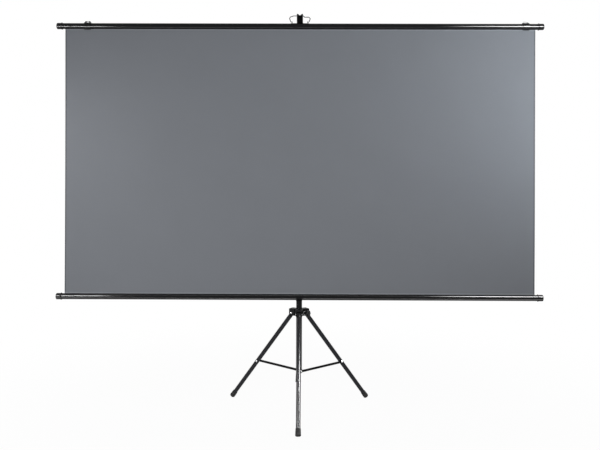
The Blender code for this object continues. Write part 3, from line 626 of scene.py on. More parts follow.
def tube_maker():
    """A drawn tube along Z: a wall section with eased rims, swept round a circle."""
    maker = Maker("Drawn tube", {
        "Radius": "Float", "Wall": "Float", "Length": "Float", "Rim": "Float", "Sides": "Int"})
    half = maker.given("Wall") * 0.5
    path = maker.node("GeometryNodeCurvePrimitiveCircle", {"mode": "RADIUS"}, {
        "Resolution": maker.given("Sides"), "Radius": maker.given("Radius") - half})
    section = maker.node("GeometryNodeCurvePrimitiveQuadrilateral", {"mode": "RECTANGLE"}, {
        "Width": maker.given("Wall"), "Height": maker.given("Length")})
    eased_section = maker.node("GeometryNodeFilletCurve", {"mode": "POLY"}, {
        "Curve": section.outputs[0], "Radius": maker.given("Rim"), "Count": 3})
    wall = maker.node("GeometryNodeCurveToMesh", (), {
        "Curve": path.outputs["Curve"], "Profile Curve": eased_section.outputs["Curve"]})
    maker.close(wall.outputs["Mesh"])
    return maker


def wire_maker():
    """A round wire along the edges of the mesh it is given."""
    maker = Maker("Bent wire", {"Radius": "Float", "Sides": "Int"})
    path = maker.node("GeometryNodeMeshToCurve", (), {"Mesh": maker.source.outputs["Geometry"]})
    section = maker.node("GeometryNodeCurvePrimitiveCircle", {"mode": "RADIUS"}, {
        "Resolution": maker.given("Sides"), "Radius": maker.given("Radius")})
    wire = maker.node("GeometryNodeCurveToMesh", (), {
        "Curve": path.outputs["Curve"], "Profile Curve": section.outputs["Curve"], "Fill Caps": True})
    maker.close(wire.outputs["Mesh"])
    return maker


def ring_maker():
    """Copies of what it is given, spaced evenly round Z. Each copy's X points away from the middle."""
    maker = Maker("Copies round the pole", {
        "Count": "Int", "First Turn": "Float", "Reach": "Float", "Height": "Float"})
    turn = maker.given("First Turn") + maker.number() * (2 * math.pi) / maker.given("Count")
    reach = maker.given("Reach")
    spot = maker.vector(X=turn.cosine() * reach, Y=turn.sine() * reach, Z=maker.given("Height"))
    maker.close_with_copies(spot, Rotation=maker.vector(Z=turn))
    return maker


def row_maker():
    """Copies of what it is given in a row down Z, each a little larger across than the one above."""
    maker = Maker("Row of ribs", {"Count": "Int", "Pitch": "Float", "Growth": "Float"})
    drop = maker.number() * maker.given("Pitch") * -1
    across = 1 + maker.number() * maker.given("Growth")
    maker.close_with_copies(maker.vector(Z=drop), Scale=maker.vector(X=across, Y=across, Z=1))
    return maker


DRAWN_TUBE = tube_maker()
BENT_WIRE = wire_maker()
ROUND_POLE = ring_maker()
RIB_ROW = row_maker()


def piece(name, mesh, finish, body, nodes=(), crease=30, bevel=0.0, segments=2):
    """A finished piece: material, shading and edges, on its body, in place of its CAD nodes."""
    if isinstance(mesh, bmesh.types.BMesh):
        mesh = held_mesh(mesh, name)
    mesh.materials.clear()
    mesh.materials.append(finish.material)
    mesh.shade_smooth()
    mesh.set_sharp_from_angle(angle=math.radians(crease))
    obj = bpy.data.objects.new(name, mesh)
    bpy.context.scene.collection.objects.link(obj)
    if bevel:
        modifier = obj.modifiers.new("edges", "BEVEL")
        modifier.width = bevel
        modifier.segments = segments
        modifier.limit_method = "ANGLE"
        modifier.angle_limit = math.radians(max(crease, 30))
        modifier.harden_normals = True
    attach(obj, body)
    if nodes:
        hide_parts(*nodes)
    return obj


def moulded_piece(name, mesh, grain, finish, body, node, rounding=3):
    """A piece with a moulded shape: even small faces, with every edge eased a little."""
    work = scratch(mesh)
    remesh = work.modifiers.new("even", "REMESH")
    remesh.mode = "VOXEL"
    remesh.voxel_size = grain
    ease = work.modifiers.new("ease", "SMOOTH")
    ease.factor = 0.5
    ease.iterations = rounding
    shape = settled(work, name)
    bpy.data.objects.remove(work)
    piece(name, shape, finish, body, [node], crease=60)


def keep_node(node, finish):
    """A CAD node that stays as it is, in its real finish."""
    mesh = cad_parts[node].data
    mesh.materials.clear()
    mesh.materials.append(finish.material)


# Upright tubes
def drawn_tube(name, radius, wall, low, high, place, sides=72):
    """A tube between two heights of a placement."""
    mesh = DRAWN_TUBE.make(name, None, MAST_PAINT, Radius=radius, Wall=wall, Length=high - low,
                           Rim=0.0004, Sides=sides)
    mesh.transform(place @ moved(0, 0, (low + high) / 2))
    return mesh


def make_tubes():
    for name, node, body, radius in (
        ("pole", "pole_tube", "stand", POLE_RADIUS),
        ("lower_mast", "mast_lower_tube", "mast_lower", MAST_RADIUS),
        ("upper_mast", "mast_upper_tube", "mast_upper", UPPER_MAST_RADIUS),
    ):
        low, high = span(node, 2)
        tube = drawn_tube(name, radius, TUBE_WALL, low, high, at_pole())
        piece(name, tube, MAST_PAINT, body, [node], crease=50)
    for node in ("mast_foot_bush", "mast_upper_bush"):
        keep_node(node, PLASTIC)
    for node in ("lower_bar_spline", "upper_bar_spline"):
        keep_node(node, SPLINE)


# Rings and collar round the tubes
def make_rings():
    low, high = span("pole_guide_ring", 2)
    outer = span("pole_guide_ring", 0)[1]
    bore = POLE_RADIUS + FIT
    lip = MAST_RADIUS + FIT
    ledge = POLE_TOP + FIT
    profile = [(bore, ledge), (bore, low), (outer, low), (outer, high), (lip, high), (lip, ledge)]
    piece("guide_ring", lathe(eased(profile, 0.0006), 72, at_pole()), PLASTIC, "stand", ["pole_guide_ring"])

    low, high = span("mast_collar", 2)
    outer = span("mast_collar", 0)[1]
    bore = MAST_RADIUS + FIT
    lip = UPPER_MAST_RADIUS + FIT
    ledge = MAST_TOP + FIT
    profile = [(bore, ledge), (bore, low), (outer, low), (outer, high), (lip, high), (lip, ledge)]
    back = at_pole(MAST_CLAMP_Z) @ FACE_BACK
    boss = cylinder(CLAMP_BOSS_RADIUS, bore + 0.001, span("mast_collar", 1)[1] - POLE_Y, 40, back)
    mesh = carved(lathe(profile, 64, at_pole()), "mast_collar_form", [boss],
                  [cylinder(STUD_HOLE, 0, 0.05, 32, back)])
    moulded_piece("mast_collar_form", mesh, 0.0005, PLASTIC, "mast_lower", "mast_collar")

    root = 0.011
    end = span("pole_clamp_boss", 1)[1] - POLE_Y
    profile = [(STUD_HOLE, root), (CLAMP_BOSS_RADIUS, root), (CLAMP_BOSS_RADIUS, end), (STUD_HOLE, end)]
    seat = cylinder(POLE_RADIUS + FIT, CLAMP_Z - 0.02, CLAMP_Z + 0.02, 72, at_pole())
    mesh = carved(lathe(profile, 48, at_pole(CLAMP_Z) @ FACE_BACK), "clamp_boss", cuts=[seat])
    piece("clamp_boss", mesh, MAST_PAINT, "stand", ["pole_clamp_boss"], crease=40, bevel=0.0004)


# Clamping knobs
def lobed(radius, thickness, neck, place):
    """A six-lobed grip with rounded rims and a dished face with a raised button."""
    lobes = 6
    around = 96
    dip = 0.0022
    rings = [(0.0075, 0.0, 0), (0.0075, neck - 0.0008, 0), (0.0080, neck, 0.1)]
    rings += [(radius - 0.0034 + 0.0034 * math.sin(t), neck + 0.0034 - 0.0034 * math.cos(t), 1)
              for t in (math.radians(a) for a in (0, 30, 60, 90))]
    top = neck + thickness
    rings += [(radius - 0.0030 + 0.0030 * math.cos(t), top - 0.0030 + 0.0030 * math.sin(t),
               1 - 0.3 * math.sin(t))
              for t in (math.radians(a) for a in (0, 22, 45, 67, 90))]
    dish = radius * 0.60
    rings += [(dish + 0.0005, top, 0), (dish, top - 0.0004, 0), (dish - 0.0007, top - 0.0012, 0),
              (dish - 0.0016, top - 0.0014, 0), (dish * 0.45, top - 0.0014, 0),
              (dish * 0.40, top - 0.0007, 0), (dish * 0.34, top - 0.0005, 0)]
    bm = bmesh.new()
    loops = []
    for reach, height, share in rings:
        loops.append([
            bm.verts.new(((reach - share * dip * (1 - math.cos(lobes * t)) / 2) * math.cos(t),
                          (reach - share * dip * (1 - math.cos(lobes * t)) / 2) * math.sin(t), height))
            for t in (2 * math.pi * i / around for i in range(around))
        ])
    for low, high in zip(loops, loops[1:]):
        for i in range(around):
            j = (i + 1) % around
            bm.faces.new((low[i], low[j], high[j], high[i]))
    bm.faces.new(loops[0])
    bm.faces.new(loops[-1])
    return placed(bm, place)


def make_knob(clamp, seat, place, radius, thickness, neck):
    grip = lobed(radius, thickness, neck, place @ moved(0, 0, seat))
    piece(clamp + "_grip", grip, KNOB_PLASTIC, clamp + "_clamp", [clamp + "_knob"], crease=50)


def make_stud(clamp, tip, flange, place):
    """A stud with a ring groove every millimetre for its thread, and the flange the knob sits on."""
    radius = 0.0030
    pitch = 0.001
    profile = [(0, tip), (0.0022, tip), (radius, tip + 0.0008)]
    grooves = int((flange - tip - 0.003) / pitch)
    for i in range(grooves):
        start = tip + 0.0012 + i * pitch
        profile += [(radius, start), (0.0026, start + pitch / 2)]
    profile += [(radius, flange - 0.0008), (radius, flange), (0.0086, flange), (0.0088, flange + 0.0003),
                (0.0088, flange + 0.0013), (0.0086, flange + STUD_FLANGE), (0, flange + STUD_FLANGE)]
    piece(clamp + "_stud", lathe(profile, 48, place), STEEL, clamp + "_clamp", [clamp + "_knob_stud"],
          crease=35)


def make_clamps():
    """The three clamps: each one's place, the tube it presses on, its flange and the size of its grip."""
    large = (0.0145, 0.0145, 0.011)
    small = (0.0115, 0.011, 0.005)
    for clamp, place, tube, flange, grip in (
        ("hub", at_pole(HUB_Z + HUB_KNOB_RISE) @ FACE_KNOB, POLE_RADIUS, HUB_BOSS_END, large),
        ("pole", at_pole(CLAMP_Z) @ FACE_BACK, MAST_RADIUS, POLE_RADIUS + 0.010, small),
        ("mast", at_pole(MAST_CLAMP_Z) @ FACE_BACK, UPPER_MAST_RADIUS, 0.024, small),
    ):
        make_stud(clamp, tube + FIT, flange + FIT, place)
        make_knob(clamp, flange + FIT + STUD_FLANGE + FIT, place, *grip)


# Hub and its ears
def make_hub():
    bore = POLE_RADIUS + FIT
    core = POLE_RADIUS + HUB_WALL
    corner = 0.005
    wide = LEG_RADIUS + FIT + EAR_WALL
    ground = at_pole(HUB_Z)
    outline = [(HUB_CORE, HUB_TOP), (HUB_CORE, -EAR_RADIUS)]
    outline += arc((PIVOT_RADIUS, 0), EAR_RADIUS, -RIGHT_ANGLE, 0, 12)
    outline += arc((PIVOT_RADIUS + EAR_RADIUS - corner, HUB_TOP - corner), corner, 0, RIGHT_ANGLE, 6)
    base = lathe([(core, HUB_TOP), (core, -EAR_RADIUS), (bore, -EAR_RADIUS), (bore, HUB_TOP)], 64, ground)
    joins = []
    cuts = [cylinder(bore, -0.03, 0.04, 64, ground)]
    for azimuth in AZIMUTHS.values():
        turn = ground @ turned(azimuth, "Z")
        joins.append(prism(outline, 2 * wide, turn @ LAY_ALONG_Y))
        gap = LEG_RADIUS + FIT
        cuts.append(block((0.0225, -gap, -0.02), (0.06, gap, HUB_TOP - 0.0087), turn))
        cuts.append(cylinder(PIN_HOLE, -0.03, 0.03, 32, turn @ moved(PIVOT_RADIUS, 0, 0) @ LAY_ALONG_Y))
    side = ground @ moved(0, 0, HUB_KNOB_RISE) @ FACE_KNOB
    joins.append(cylinder(0.010, HUB_CORE, HUB_BOSS_END, 48, side))
    cuts.append(cylinder(STUD_HOLE, 0, 0.05, 32, side))
    moulded_piece("hub_form", carved(base, "hub_form", joins, cuts), 0.00065, PLASTIC, "hub_slider", "hub", 4)


def make_plug():
    """The plug in the pole's end: three flats for the struts, with rounded corners between them."""
    low, high = span("pole_end_plug", 2)
    top = POLE_BOTTOM - FIT
    radius = 0.015
    reach = math.acos(LEG_RADIUS / radius)
    outline = []
    for azimuth in sorted(AZIMUTHS.values()):
        normal = azimuth - RIGHT_ANGLE
        outline += arc((0, 0), radius, normal + reach, normal + 2 * math.pi / 3 - reach, 10)
    body = prism(outline, top - low, at_pole((low + top) / 2))
    spigot = cylinder(POLE_RADIUS - TUBE_WALL - FIT, top - 0.002, high, 48, at_pole())
    moulded_piece("end_plug", carved(body, "end_plug", [spigot]), 0.0004, PLASTIC, "stand", "pole_end_plug")


# Fasteners
def head_profile(base, away=1):
    """A low dome from its rim to the axis, on a plane at base."""
    return [(HEAD_RADIUS * math.cos(t), base + away * HEAD_HEIGHT * math.sin(t))
            for t in (RIGHT_ANGLE * i / 8 for i in range(8))] + [(0, base + away * HEAD_HEIGHT)]


def rivet(shank, place):
    return lathe([(0, -shank), (PIN_RADIUS, -shank), (PIN_RADIUS, 0)] + head_profile(0), 36, place)


def pivot_pin(length, place):
    upper = head_profile(length / 2)
    lower = head_profile(-length / 2, -1)
    profile = lower[::-1] + [(PIN_RADIUS, -length / 2), (PIN_RADIUS, length / 2)] + upper
    return lathe(profile, 36, place)


def cross_slotted(shank, place):
    """A screw like the rivet, with a cross recess in its head."""
    arm = 0.0022
    thin = 0.00035
    floor = HEAD_HEIGHT * 0.35
    slots = [block((-x, -y, floor), (x, y, 0.01), place) for x, y in ((arm, thin), (thin, arm))]
    return carved(rivet(shank, place), "screw", cuts=slots)


# Legs, feet and struts
def leg_place(side):
    return (at_pole(HUB_Z) @ turned(AZIMUTHS[side], "Z") @ moved(PIVOT_RADIUS, 0, 0)
            @ turned(-LEG_SPREAD, "Y"))


def strut_place(side):
    return (at_pole(STRUT_ROOT_Z) @ turned(AZIMUTHS[side], "Z") @ moved(STRUT_ROOT_RADIUS, 0, 0)
            @ turned(-STRUT_TILT, "Y"))


def make_foot(side, place):
    """A rubber cap with five ribs round it, its sole worn flat on the floor."""
    bore = LEG_RADIUS + FIT
    top = -LEG_LENGTH + FOOT_LENGTH
    sole = -LEG_LENGTH + FOOT_SOLE
    profile = [(0, sole), (bore, sole), (bore, top - 0.0006), (bore + 0.0005, top), (0.0112, top),
               (0.0117, top - 0.0005), (0.0117, top - 0.0016), (0.0113, top - 0.0022),
               (0.0119, -LEG_LENGTH + 0.0125), (FOOT_RADIUS, -LEG_LENGTH + 0.0112)]
    profile += arc((FOOT_RADIUS - FOOT_EDGE, -LEG_LENGTH + FOOT_EDGE), FOOT_EDGE, 0, -RIGHT_ANGLE, 6)
    profile += [(0, -LEG_LENGTH)]
    bm = lathe(profile, 56, place)
    everything = list(bm.verts) + list(bm.edges) + list(bm.faces)
    cut = bmesh.ops.bisect_plane(bm, geom=everything, dist=1e-7, plane_co=(0, 0, 0), plane_no=(0, 0, 1),
                                 clear_inner=True)["geom_cut"]
    rim = [part for part in cut if isinstance(part, bmesh.types.BMEdge)]
    bmesh.ops.contextual_create(bm, geom=rim)
    section = [(0.0110, -0.0007), (0.0113, -0.0007), (0.0117, -0.0004), (0.0118, 0), (0.0117, 0.0004),
               (0.0113, 0.0007), (0.0110, 0.0007)]
    rib = held_mesh(lathe(section[::-1], 56), "rib")
    ribs = RIB_ROW.make("foot_ribs", rib, RUBBER, Count=5, Pitch=0.0032, Growth=0.0127)
    ribs.transform(place @ moved(0, 0, top - 0.0044))
    bm.from_mesh(ribs)
    piece("rubber_foot_" + side, bm, RUBBER, "leg_" + side, ["leg_%s_foot" % side], crease=35)


def make_leg(side):
    place = leg_place(side)
    body = "leg_" + side
    end = -LEG_LENGTH + FOOT_SOLE + FIT
    tube = drawn_tube("leg_rod", LEG_RADIUS, LEG_WALL, end, -LEG_TUBE_START, place, 56)
    piece("leg_%s_rod" % side, tube, LEG_PAINT_WITH_PAINTED_REFLECTION, body, ["leg_%s_tube" % side], crease=50)

    eye = 0.011
    cross = place @ LAY_ALONG_Y
    neck = LEG_RADIUS - LEG_WALL - FIT
    start = -LEG_TUBE_START + FIT
    stem = lathe([(0, -eye / 2), (LEG_RADIUS, -eye / 2), (LEG_RADIUS, start), (neck, start),
                  (neck, start - 0.024), (0, start - 0.024)], 48, place)
    mesh = carved(cylinder(eye, -LEG_RADIUS, LEG_RADIUS, 48, cross), "leg_eye_" + side, [stem],
                  [cylinder(PIN_HOLE, -0.02, 0.02, 32, cross)])
    moulded_piece("leg_eye_" + side, mesh, 0.00045, PLASTIC, body, "leg_%s_fitting" % side)

    far = place @ moved(0, LEG_RADIUS + FIT, -STRUT_REACH) @ FACE_BACK
    piece("leg_rivet_head_" + side, rivet(2 * LEG_RADIUS + FIT, far), STEEL, body, ["leg_%s_rivet" % side])
    make_foot(side, place)


def make_strut(side):
    place = strut_place(side)
    body = "linkage_strut_" + side
    half = STRUT_HEIGHT / 2
    near = LEG_RADIUS + FIT
    outline = arc((STRUT_LENGTH, 0), half, -RIGHT_ANGLE, RIGHT_ANGLE, 16)
    outline += arc((0, 0), half, RIGHT_ANGLE, 3 * RIGHT_ANGLE, 16)
    flat = place @ moved(0, -near - STRUT_THICKNESS / 2, 0) @ LAY_ALONG_Y
    holes = [cylinder(PIN_HOLE, -0.01, 0.01, 28, flat @ moved(reach, 0, 0)) for reach in (0, STRUT_LENGTH)]
    mesh = carved(prism(outline, STRUT_THICKNESS, flat), "flat_strut_" + side, cuts=holes)
    piece("flat_strut_" + side, mesh, SHEET_PAINT, body, ["strut_" + side], crease=35, bevel=0.0005)
    end = place @ moved(STRUT_LENGTH, -near - STRUT_THICKNESS - FIT, 0) @ LAY_ALONG_Y
    piece("strut_rivet_head_" + side, rivet(STRUT_THICKNESS + FIT, end), STEEL, body,
          ["strut_%s_rivet" % side])


def make_pivots():
    """The three pins through the hub's ears and the three screws at the struts' roots."""
    start = AZIMUTHS["front"]
    ears = 2 * (LEG_RADIUS + 2 * FIT + EAR_WALL)
    pin = held_mesh(pivot_pin(ears, LAY_ALONG_Y), "pivot_pin")
    pins = ROUND_POLE.make("pivot_pins", pin, STEEL, Count=3, First_Turn=start, Reach=PIVOT_RADIUS,
                           Height=HUB_Z)
    pins.transform(at_pole())
    piece("pivot_pins", pins, STEEL, "hub_slider", ["leg_%s_pivot_pin" % side for side in AZIMUTHS])
    outer = LEG_RADIUS + STRUT_THICKNESS + 2 * FIT
    screw = cross_slotted(0.0055 + STRUT_THICKNESS + 2 * FIT, moved(0, -outer, 0) @ LAY_ALONG_Y)
    screws = ROUND_POLE.make("root_screws", screw, STEEL, Count=3, First_Turn=start, Reach=STRUT_ROOT_RADIUS,
                             Height=STRUT_ROOT_Z)
    screws.transform(at_pole())
    piece("root_screws", screws, STEEL, "stand", ["strut_%s_root_screw" % side for side in AZIMUTHS],
          crease=35)


# Bars, caps and clips
def slotted_outline(mouth, steps=72):
    bore = BAR_RADIUS - BAR_WALL
    outer_half = math.asin(BAR_SLOT / 2 / BAR_RADIUS)
    inner_half = math.asin(BAR_SLOT / 2 / bore)
    full = 2 * math.pi
    return (arc((0, 0), BAR_RADIUS, mouth + outer_half, mouth + full - outer_half, steps)
            + arc((0, 0), bore, mouth + full - inner_half, mouth + inner_half, steps))


def make_bar(level, height, mouth, body):
    centre = moved(0, BAR_Y, height)
    tube = prism(slotted_outline(mouth), 2 * BAR_END, centre @ LAY_ALONG_X)
    piece(level + "_bar", tube, BAR_PAINT, body, [level + "_bar_tube"], crease=35)
    bore = BAR_RADIUS - BAR_WALL - FIT
    corner = arc((0.0149 - 0.0042, 0.026 - 0.0042), 0.0042, 0, RIGHT_ANGLE, 10)
    profile = [(0, -0.012), (bore - 0.0008, -0.012), (bore, -0.0112), (bore, FIT), (0.0164, FIT),
               (0.0167, FIT + 0.0003), (0.0167, FIT + 0.0024), (0.0163, FIT + 0.0030), (0.0151, FIT + 0.0031),
               (0.0149, FIT + 0.0035), (0.0149, FIT + 0.0042), (0.0149, 0.0210)]
    profile += corner + [(0.0022, 0.026), (0.0018, 0.0255), (0, 0.0254)]
    for side, sign in (("left", -1), ("right", 1)):
        turn = centre @ moved(sign * BAR_END, 0, 0) @ turned(sign * RIGHT_ANGLE, "Y")
        piece("%s_cap_%s" % (level, side), lathe(profile, 64, turn), CAP_PLASTIC, body,
              ["%s_bar_cap_%s" % (level, side)], crease=40)


def make_clip(name, node, body, x):
    """An open ring on the upper bar, with a slotted lug on top and a sloped lip at each end of its mouth."""
    inner = BAR_RADIUS + FIT
    outer = inner + 0.0034
    width = 0.031
    half_mouth = math.radians(31)
    start = -RIGHT_ANGLE + half_mouth
    end = 3 * RIGHT_ANGLE - half_mouth
    place = moved(x, BAR_Y, UPPER_BAR_Z)
    across = place @ LAY_ALONG_X
    ring = arc((0, 0), outer, start, end, 48) + arc((0, 0), inner, end, start, 48)
    tip = BAR_RADIUS + 0.0092
    root = BAR_RADIUS + 0.0013
    lug = [(-width / 2, root), (width / 2, root), (0.011, tip), (-0.011, tip)]
    slot_top = tip - 0.0022
    lip = BAR_RADIUS + 0.0040
    front_lip = [(-0.0146, -0.0074), (-0.0090, -lip), (-0.0074, -lip), (-0.0070, -0.0105)]
    back_lip = [(-y, z) for y, z in front_lip[::-1]]
    joins = [prism(lug, 0.005, place @ LAY_ALONG_Y)]
    joins += [prism(section, width - 0.0004, across) for section in (front_lip, back_lip)]
    cuts = [block((-0.006, -0.005, slot_top - 0.005), (0.006, 0.005, slot_top), place),
            cylinder(inner, -0.03, 0.03, 64, place @ FACE_RIGHT)]
    mesh = carved(prism(ring, width, across), name, joins, cuts)
    moulded_piece(name, mesh, 0.00042, CAP_PLASTIC, body, node)


# Fabric
def ripple(across, up):
    """How far the taut cloth stands off its plane, in metres. Across and up run from 0 to 1."""
    held = math.sin(math.pi * up)
    slow = math.sin(2 * math.pi * (0.9 * across + 0.25 * up + 0.1))
    pull = math.sin(2 * math.pi * (2.1 * across - 0.35 * up)) * (1 - up) * up * 2
    edge = math.exp(-across / 0.06) - math.exp(-(1 - across) / 0.06)
    return 0.0022 * held * slow + 0.0010 * pull + 0.0018 * held * edge


def make_fabric():
    columns = 150
    rows = 84
    bm = bmesh.new()
    maps = bm.loops.layers.uv.new("cloth")
    layers = []
    for offset in (-FABRIC_THICKNESS / 2, FABRIC_THICKNESS / 2):
        grid = []
        for j in range(rows + 1):
            up = j / rows
            grid.append([
                bm.verts.new(((i / columns - 0.5) * SCREEN_WIDTH,
                              BAR_Y + offset + ripple(i / columns, up), FABRIC_LOW + up * FABRIC_HEIGHT))
                for i in range(columns + 1)
            ])
        layers.append(grid)
    front, back = layers
    for j in range(rows):
        for i in range(columns):
            bm.faces.new((front[j][i], front[j][i + 1], front[j + 1][i + 1], front[j + 1][i]))
            face = bm.faces.new((back[j][i], back[j + 1][i], back[j + 1][i + 1], back[j][i + 1]))
            face.material_index = 1
    for j in range(rows):
        bm.faces.new((front[j][0], front[j + 1][0], back[j + 1][0], back[j][0])).material_index = 1
        bm.faces.new((front[j][-1], back[j][-1], back[j + 1][-1], front[j + 1][-1])).material_index = 1
    for i in range(columns):
        bm.faces.new((front[0][i], back[0][i], back[0][i + 1], front[0][i + 1]))
        bm.faces.new((front[-1][i], front[-1][i + 1], back[-1][i + 1], back[-1][i]))
    for face in bm.faces:
        for loop in face.loops:
            spot = loop.vert.co
            loop[maps].uv = (spot.x / SCREEN_WIDTH + 0.5, (spot.z - FABRIC_LOW) / FABRIC_HEIGHT)
    cloth = piece("taut_cloth", bm, CLOTH, "mast_lower", ["screen_fabric"], crease=40)
    cloth.data.materials.append(BACKING.material)
    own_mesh(cloth)


# Cradle
def make_cradle():
    """A J of bent strip under the lower bar, with a web to the band round the mast."""
    wall = 0.003
    high = span("cradle", 2)[1]
    inner = BAR_RADIUS + FIT
    outer = inner + wall
    bore = MAST_RADIUS + FIT
    band_low = POLE_TOP + FIT + 0.0016 + 0.0010
    outline = [(inner, 0), (inner, high - LOWER_BAR_Z), (outer, high - LOWER_BAR_Z)]
    outline += arc((0, 0), outer, 0, -2 * RIGHT_ANGLE, 32)
    outline += [(-outer - 0.0015, 0.0035), (-inner - 0.0015, 0.0035)]
    outline += arc((0, 0), inner, -2 * RIGHT_ANGLE, 0, 32)[:-1]
    strip = prism(outline, 0.029, moved(0, BAR_Y, LOWER_BAR_Z) @ LAY_ALONG_X)
    band = lathe([(bore, band_low), (bore, high), (bore + wall, high), (bore + wall, band_low)],
                 64, at_pole())
    web = block((-MAST_RADIUS / 2, BAR_Y + outer - 0.0015, band_low),
                (MAST_RADIUS / 2, POLE_Y - bore - 0.0015, high))
    back = at_pole((band_low + high) / 2) @ FACE_BACK
    mesh = carved(strip, "bar_cradle", [web, band], [cylinder(PIN_HOLE, 0, 0.03, 32, back)])
    piece("bar_cradle", mesh, SHEET_PAINT, "mast_lower", ["cradle"], crease=35, bevel=0.0005)
    screw = cross_slotted(wall, back @ moved(0, 0, bore + wall + FIT))
    piece("cradle_band_screw", screw, STEEL, "mast_lower", ["cradle_screw"], crease=35)


# Bail, saddle and hook
def make_bail():
    shares = [(-0.700, 0.00), (-0.850, 0.00), (-1.000, 0.56), (-0.930, 0.82), (-0.600, 1.00),
              (0.335, 1.00), (0.440, 0.80), (0.860, 0.80), (1.000, 0.56), (0.860, 0.00), (0.700, 0.00)]
    corners = [(x * BAIL_HALF, z * BAIL_HEIGHT) for x, z in shares]
    route = eased(corners, 0.003, 8)
    bm = bmesh.new()
    points = [bm.verts.new((x, BAR_Y, BAIL_PIVOT + z)) for x, z in route]
    for pair in zip(points, points[1:]):
        bm.edges.new(pair)
    wire = BENT_WIRE.make("wire_bail", held_mesh(bm, "bail_route"), WIRE_STEEL, Radius=WIRE, Sides=24)
    piece("wire_bail", wire, WIRE_STEEL, "hanging_bail", ["bail"], crease=50)


def make_saddle():
    """A curved plate on the upper bar with two drilled tabs for the bail's ends."""
    inner = BAR_RADIUS + FIT
    outer = inner + SADDLE_WALL
    length = 0.086
    half = math.radians(38)
    outline = arc((0, 0), outer, RIGHT_ANGLE - half, RIGHT_ANGLE + half, 24)
    outline += arc((0, 0), inner, RIGHT_ANGLE + half, RIGHT_ANGLE - half, 24)
    centre = moved(0, BAR_Y, UPPER_BAR_Z)
    axis = BAIL_PIVOT - UPPER_BAR_Z
    round_top = 0.004
    tab = [(-round_top, inner + 0.0006), (round_top, inner + 0.0006)]
    tab += arc((0, axis + 0.0035 - round_top), round_top, 0, 2 * RIGHT_ANGLE, 16)
    tabs = [prism(tab, 0.002, centre @ moved(sign * (length / 2 - 0.0065), 0, 0) @ LAY_ALONG_X)
            for sign in (-1, 1)]
    drill = cylinder(WIRE + FIT, -length / 2, length / 2, 24, centre @ moved(0, 0, axis) @ FACE_RIGHT)
    mesh = carved(prism(outline, length, centre @ LAY_ALONG_X), "bail_seat", tabs, [drill])
    piece("bail_seat", mesh, SHEET_PAINT, "mast_upper", ["bail_saddle"], crease=35, bevel=0.0003)


def make_hook():
    """The mast's top cap with its fork: two prongs in front of the throat that holds the bail."""
    back = 0.0034
    prong = 0.004
    floor = BAIL_HEIGHT - WIRE - FIT
    low = UPPER_BAR_Z + BAR_RADIUS + FIT + SADDLE_WALL + 0.001 - BAIL_PIVOT
    tip = floor + 0.0108
    deep = tip - 0.017
    half = 0.0145
    bore = UPPER_MAST_RADIUS + FIT
    outer = bore + 0.0033
    seat = moved(0, BAR_Y, BAIL_PIVOT)
    right = [(0.004, deep), (0.004, tip - 0.004), (0.0105, tip), (half - 0.001, tip), (half, tip - 0.001),
             (half, low + 0.002), (half - 0.002, low)]
    fork = right + [(-x, z) for x, z in right[::-1]]
    front = prism(fork, prong, seat @ moved(0, -back - prong / 2, 0) @ LAY_ALONG_Y)
    root = POLE_Y - BAR_Y - bore - FIT
    arm = [(root, low + 0.0001), (-0.0045, low + 0.0001), (-0.0045, deep - 0.0004), (-0.0014, deep - 0.0004),
           (-0.0014, floor), (back, floor), (back, floor + 0.0066), (root, floor + 0.0066)]
    cheek = [(-0.0045, low + 0.0002), (-0.0010, low + 0.0002), (-0.0010, floor - 0.0001),
             (-0.0045, floor - 0.0001)]
    ledge = UPPER_MAST_TOP + FIT
    rim = UPPER_MAST_TOP - 0.030
    cap = [(bore, rim), (outer, rim), (outer, ledge + 0.004), (0, ledge + 0.004), (0, ledge), (bore, ledge)]
    joins = [prism(arm, 2 * half - 0.0002, seat @ LAY_ALONG_X)]
    joins += [prism(cheek, 0.0104, seat @ moved(sign * (half - 0.0053), 0, 0) @ LAY_ALONG_X)
              for sign in (-1, 1)]
    joins.append(lathe(cap, 64, at_pole()))
    rear = at_pole(UPPER_MAST_TOP - 0.015) @ FACE_BACK
    mesh = carved(front, "hook_form", joins, [cylinder(PIN_HOLE, 0.008, 0.03, 32, rear)])
    moulded_piece("hook_form", mesh, 0.00045, MATT_PLASTIC, "mast_upper", "hook_head")
    screw = cross_slotted(outer - UPPER_MAST_RADIUS, rear @ moved(0, 0, outer + FIT))
    piece("hook_cap_screw", screw, STEEL, "mast_upper", ["hook_screw"], crease=35)


make_tubes()
make_rings()
make_clamps()
make_hub()
make_plug()
for leg_side in AZIMUTHS:
    make_leg(leg_side)
    make_strut(leg_side)
make_pivots()
make_bar("lower", LOWER_BAR_Z, RIGHT_ANGLE, "mast_lower")
make_bar("upper", UPPER_BAR_Z, -RIGHT_ANGLE, "mast_upper")
make_clip("left_hanger", "clip_left", "left_clip", CLIP_LEFT_X)
make_clip("right_hanger", "clip_right", "right_clip", CLIP_RIGHT_X)
make_fabric()
make_cradle()
make_bail()
make_saddle()
make_hook()


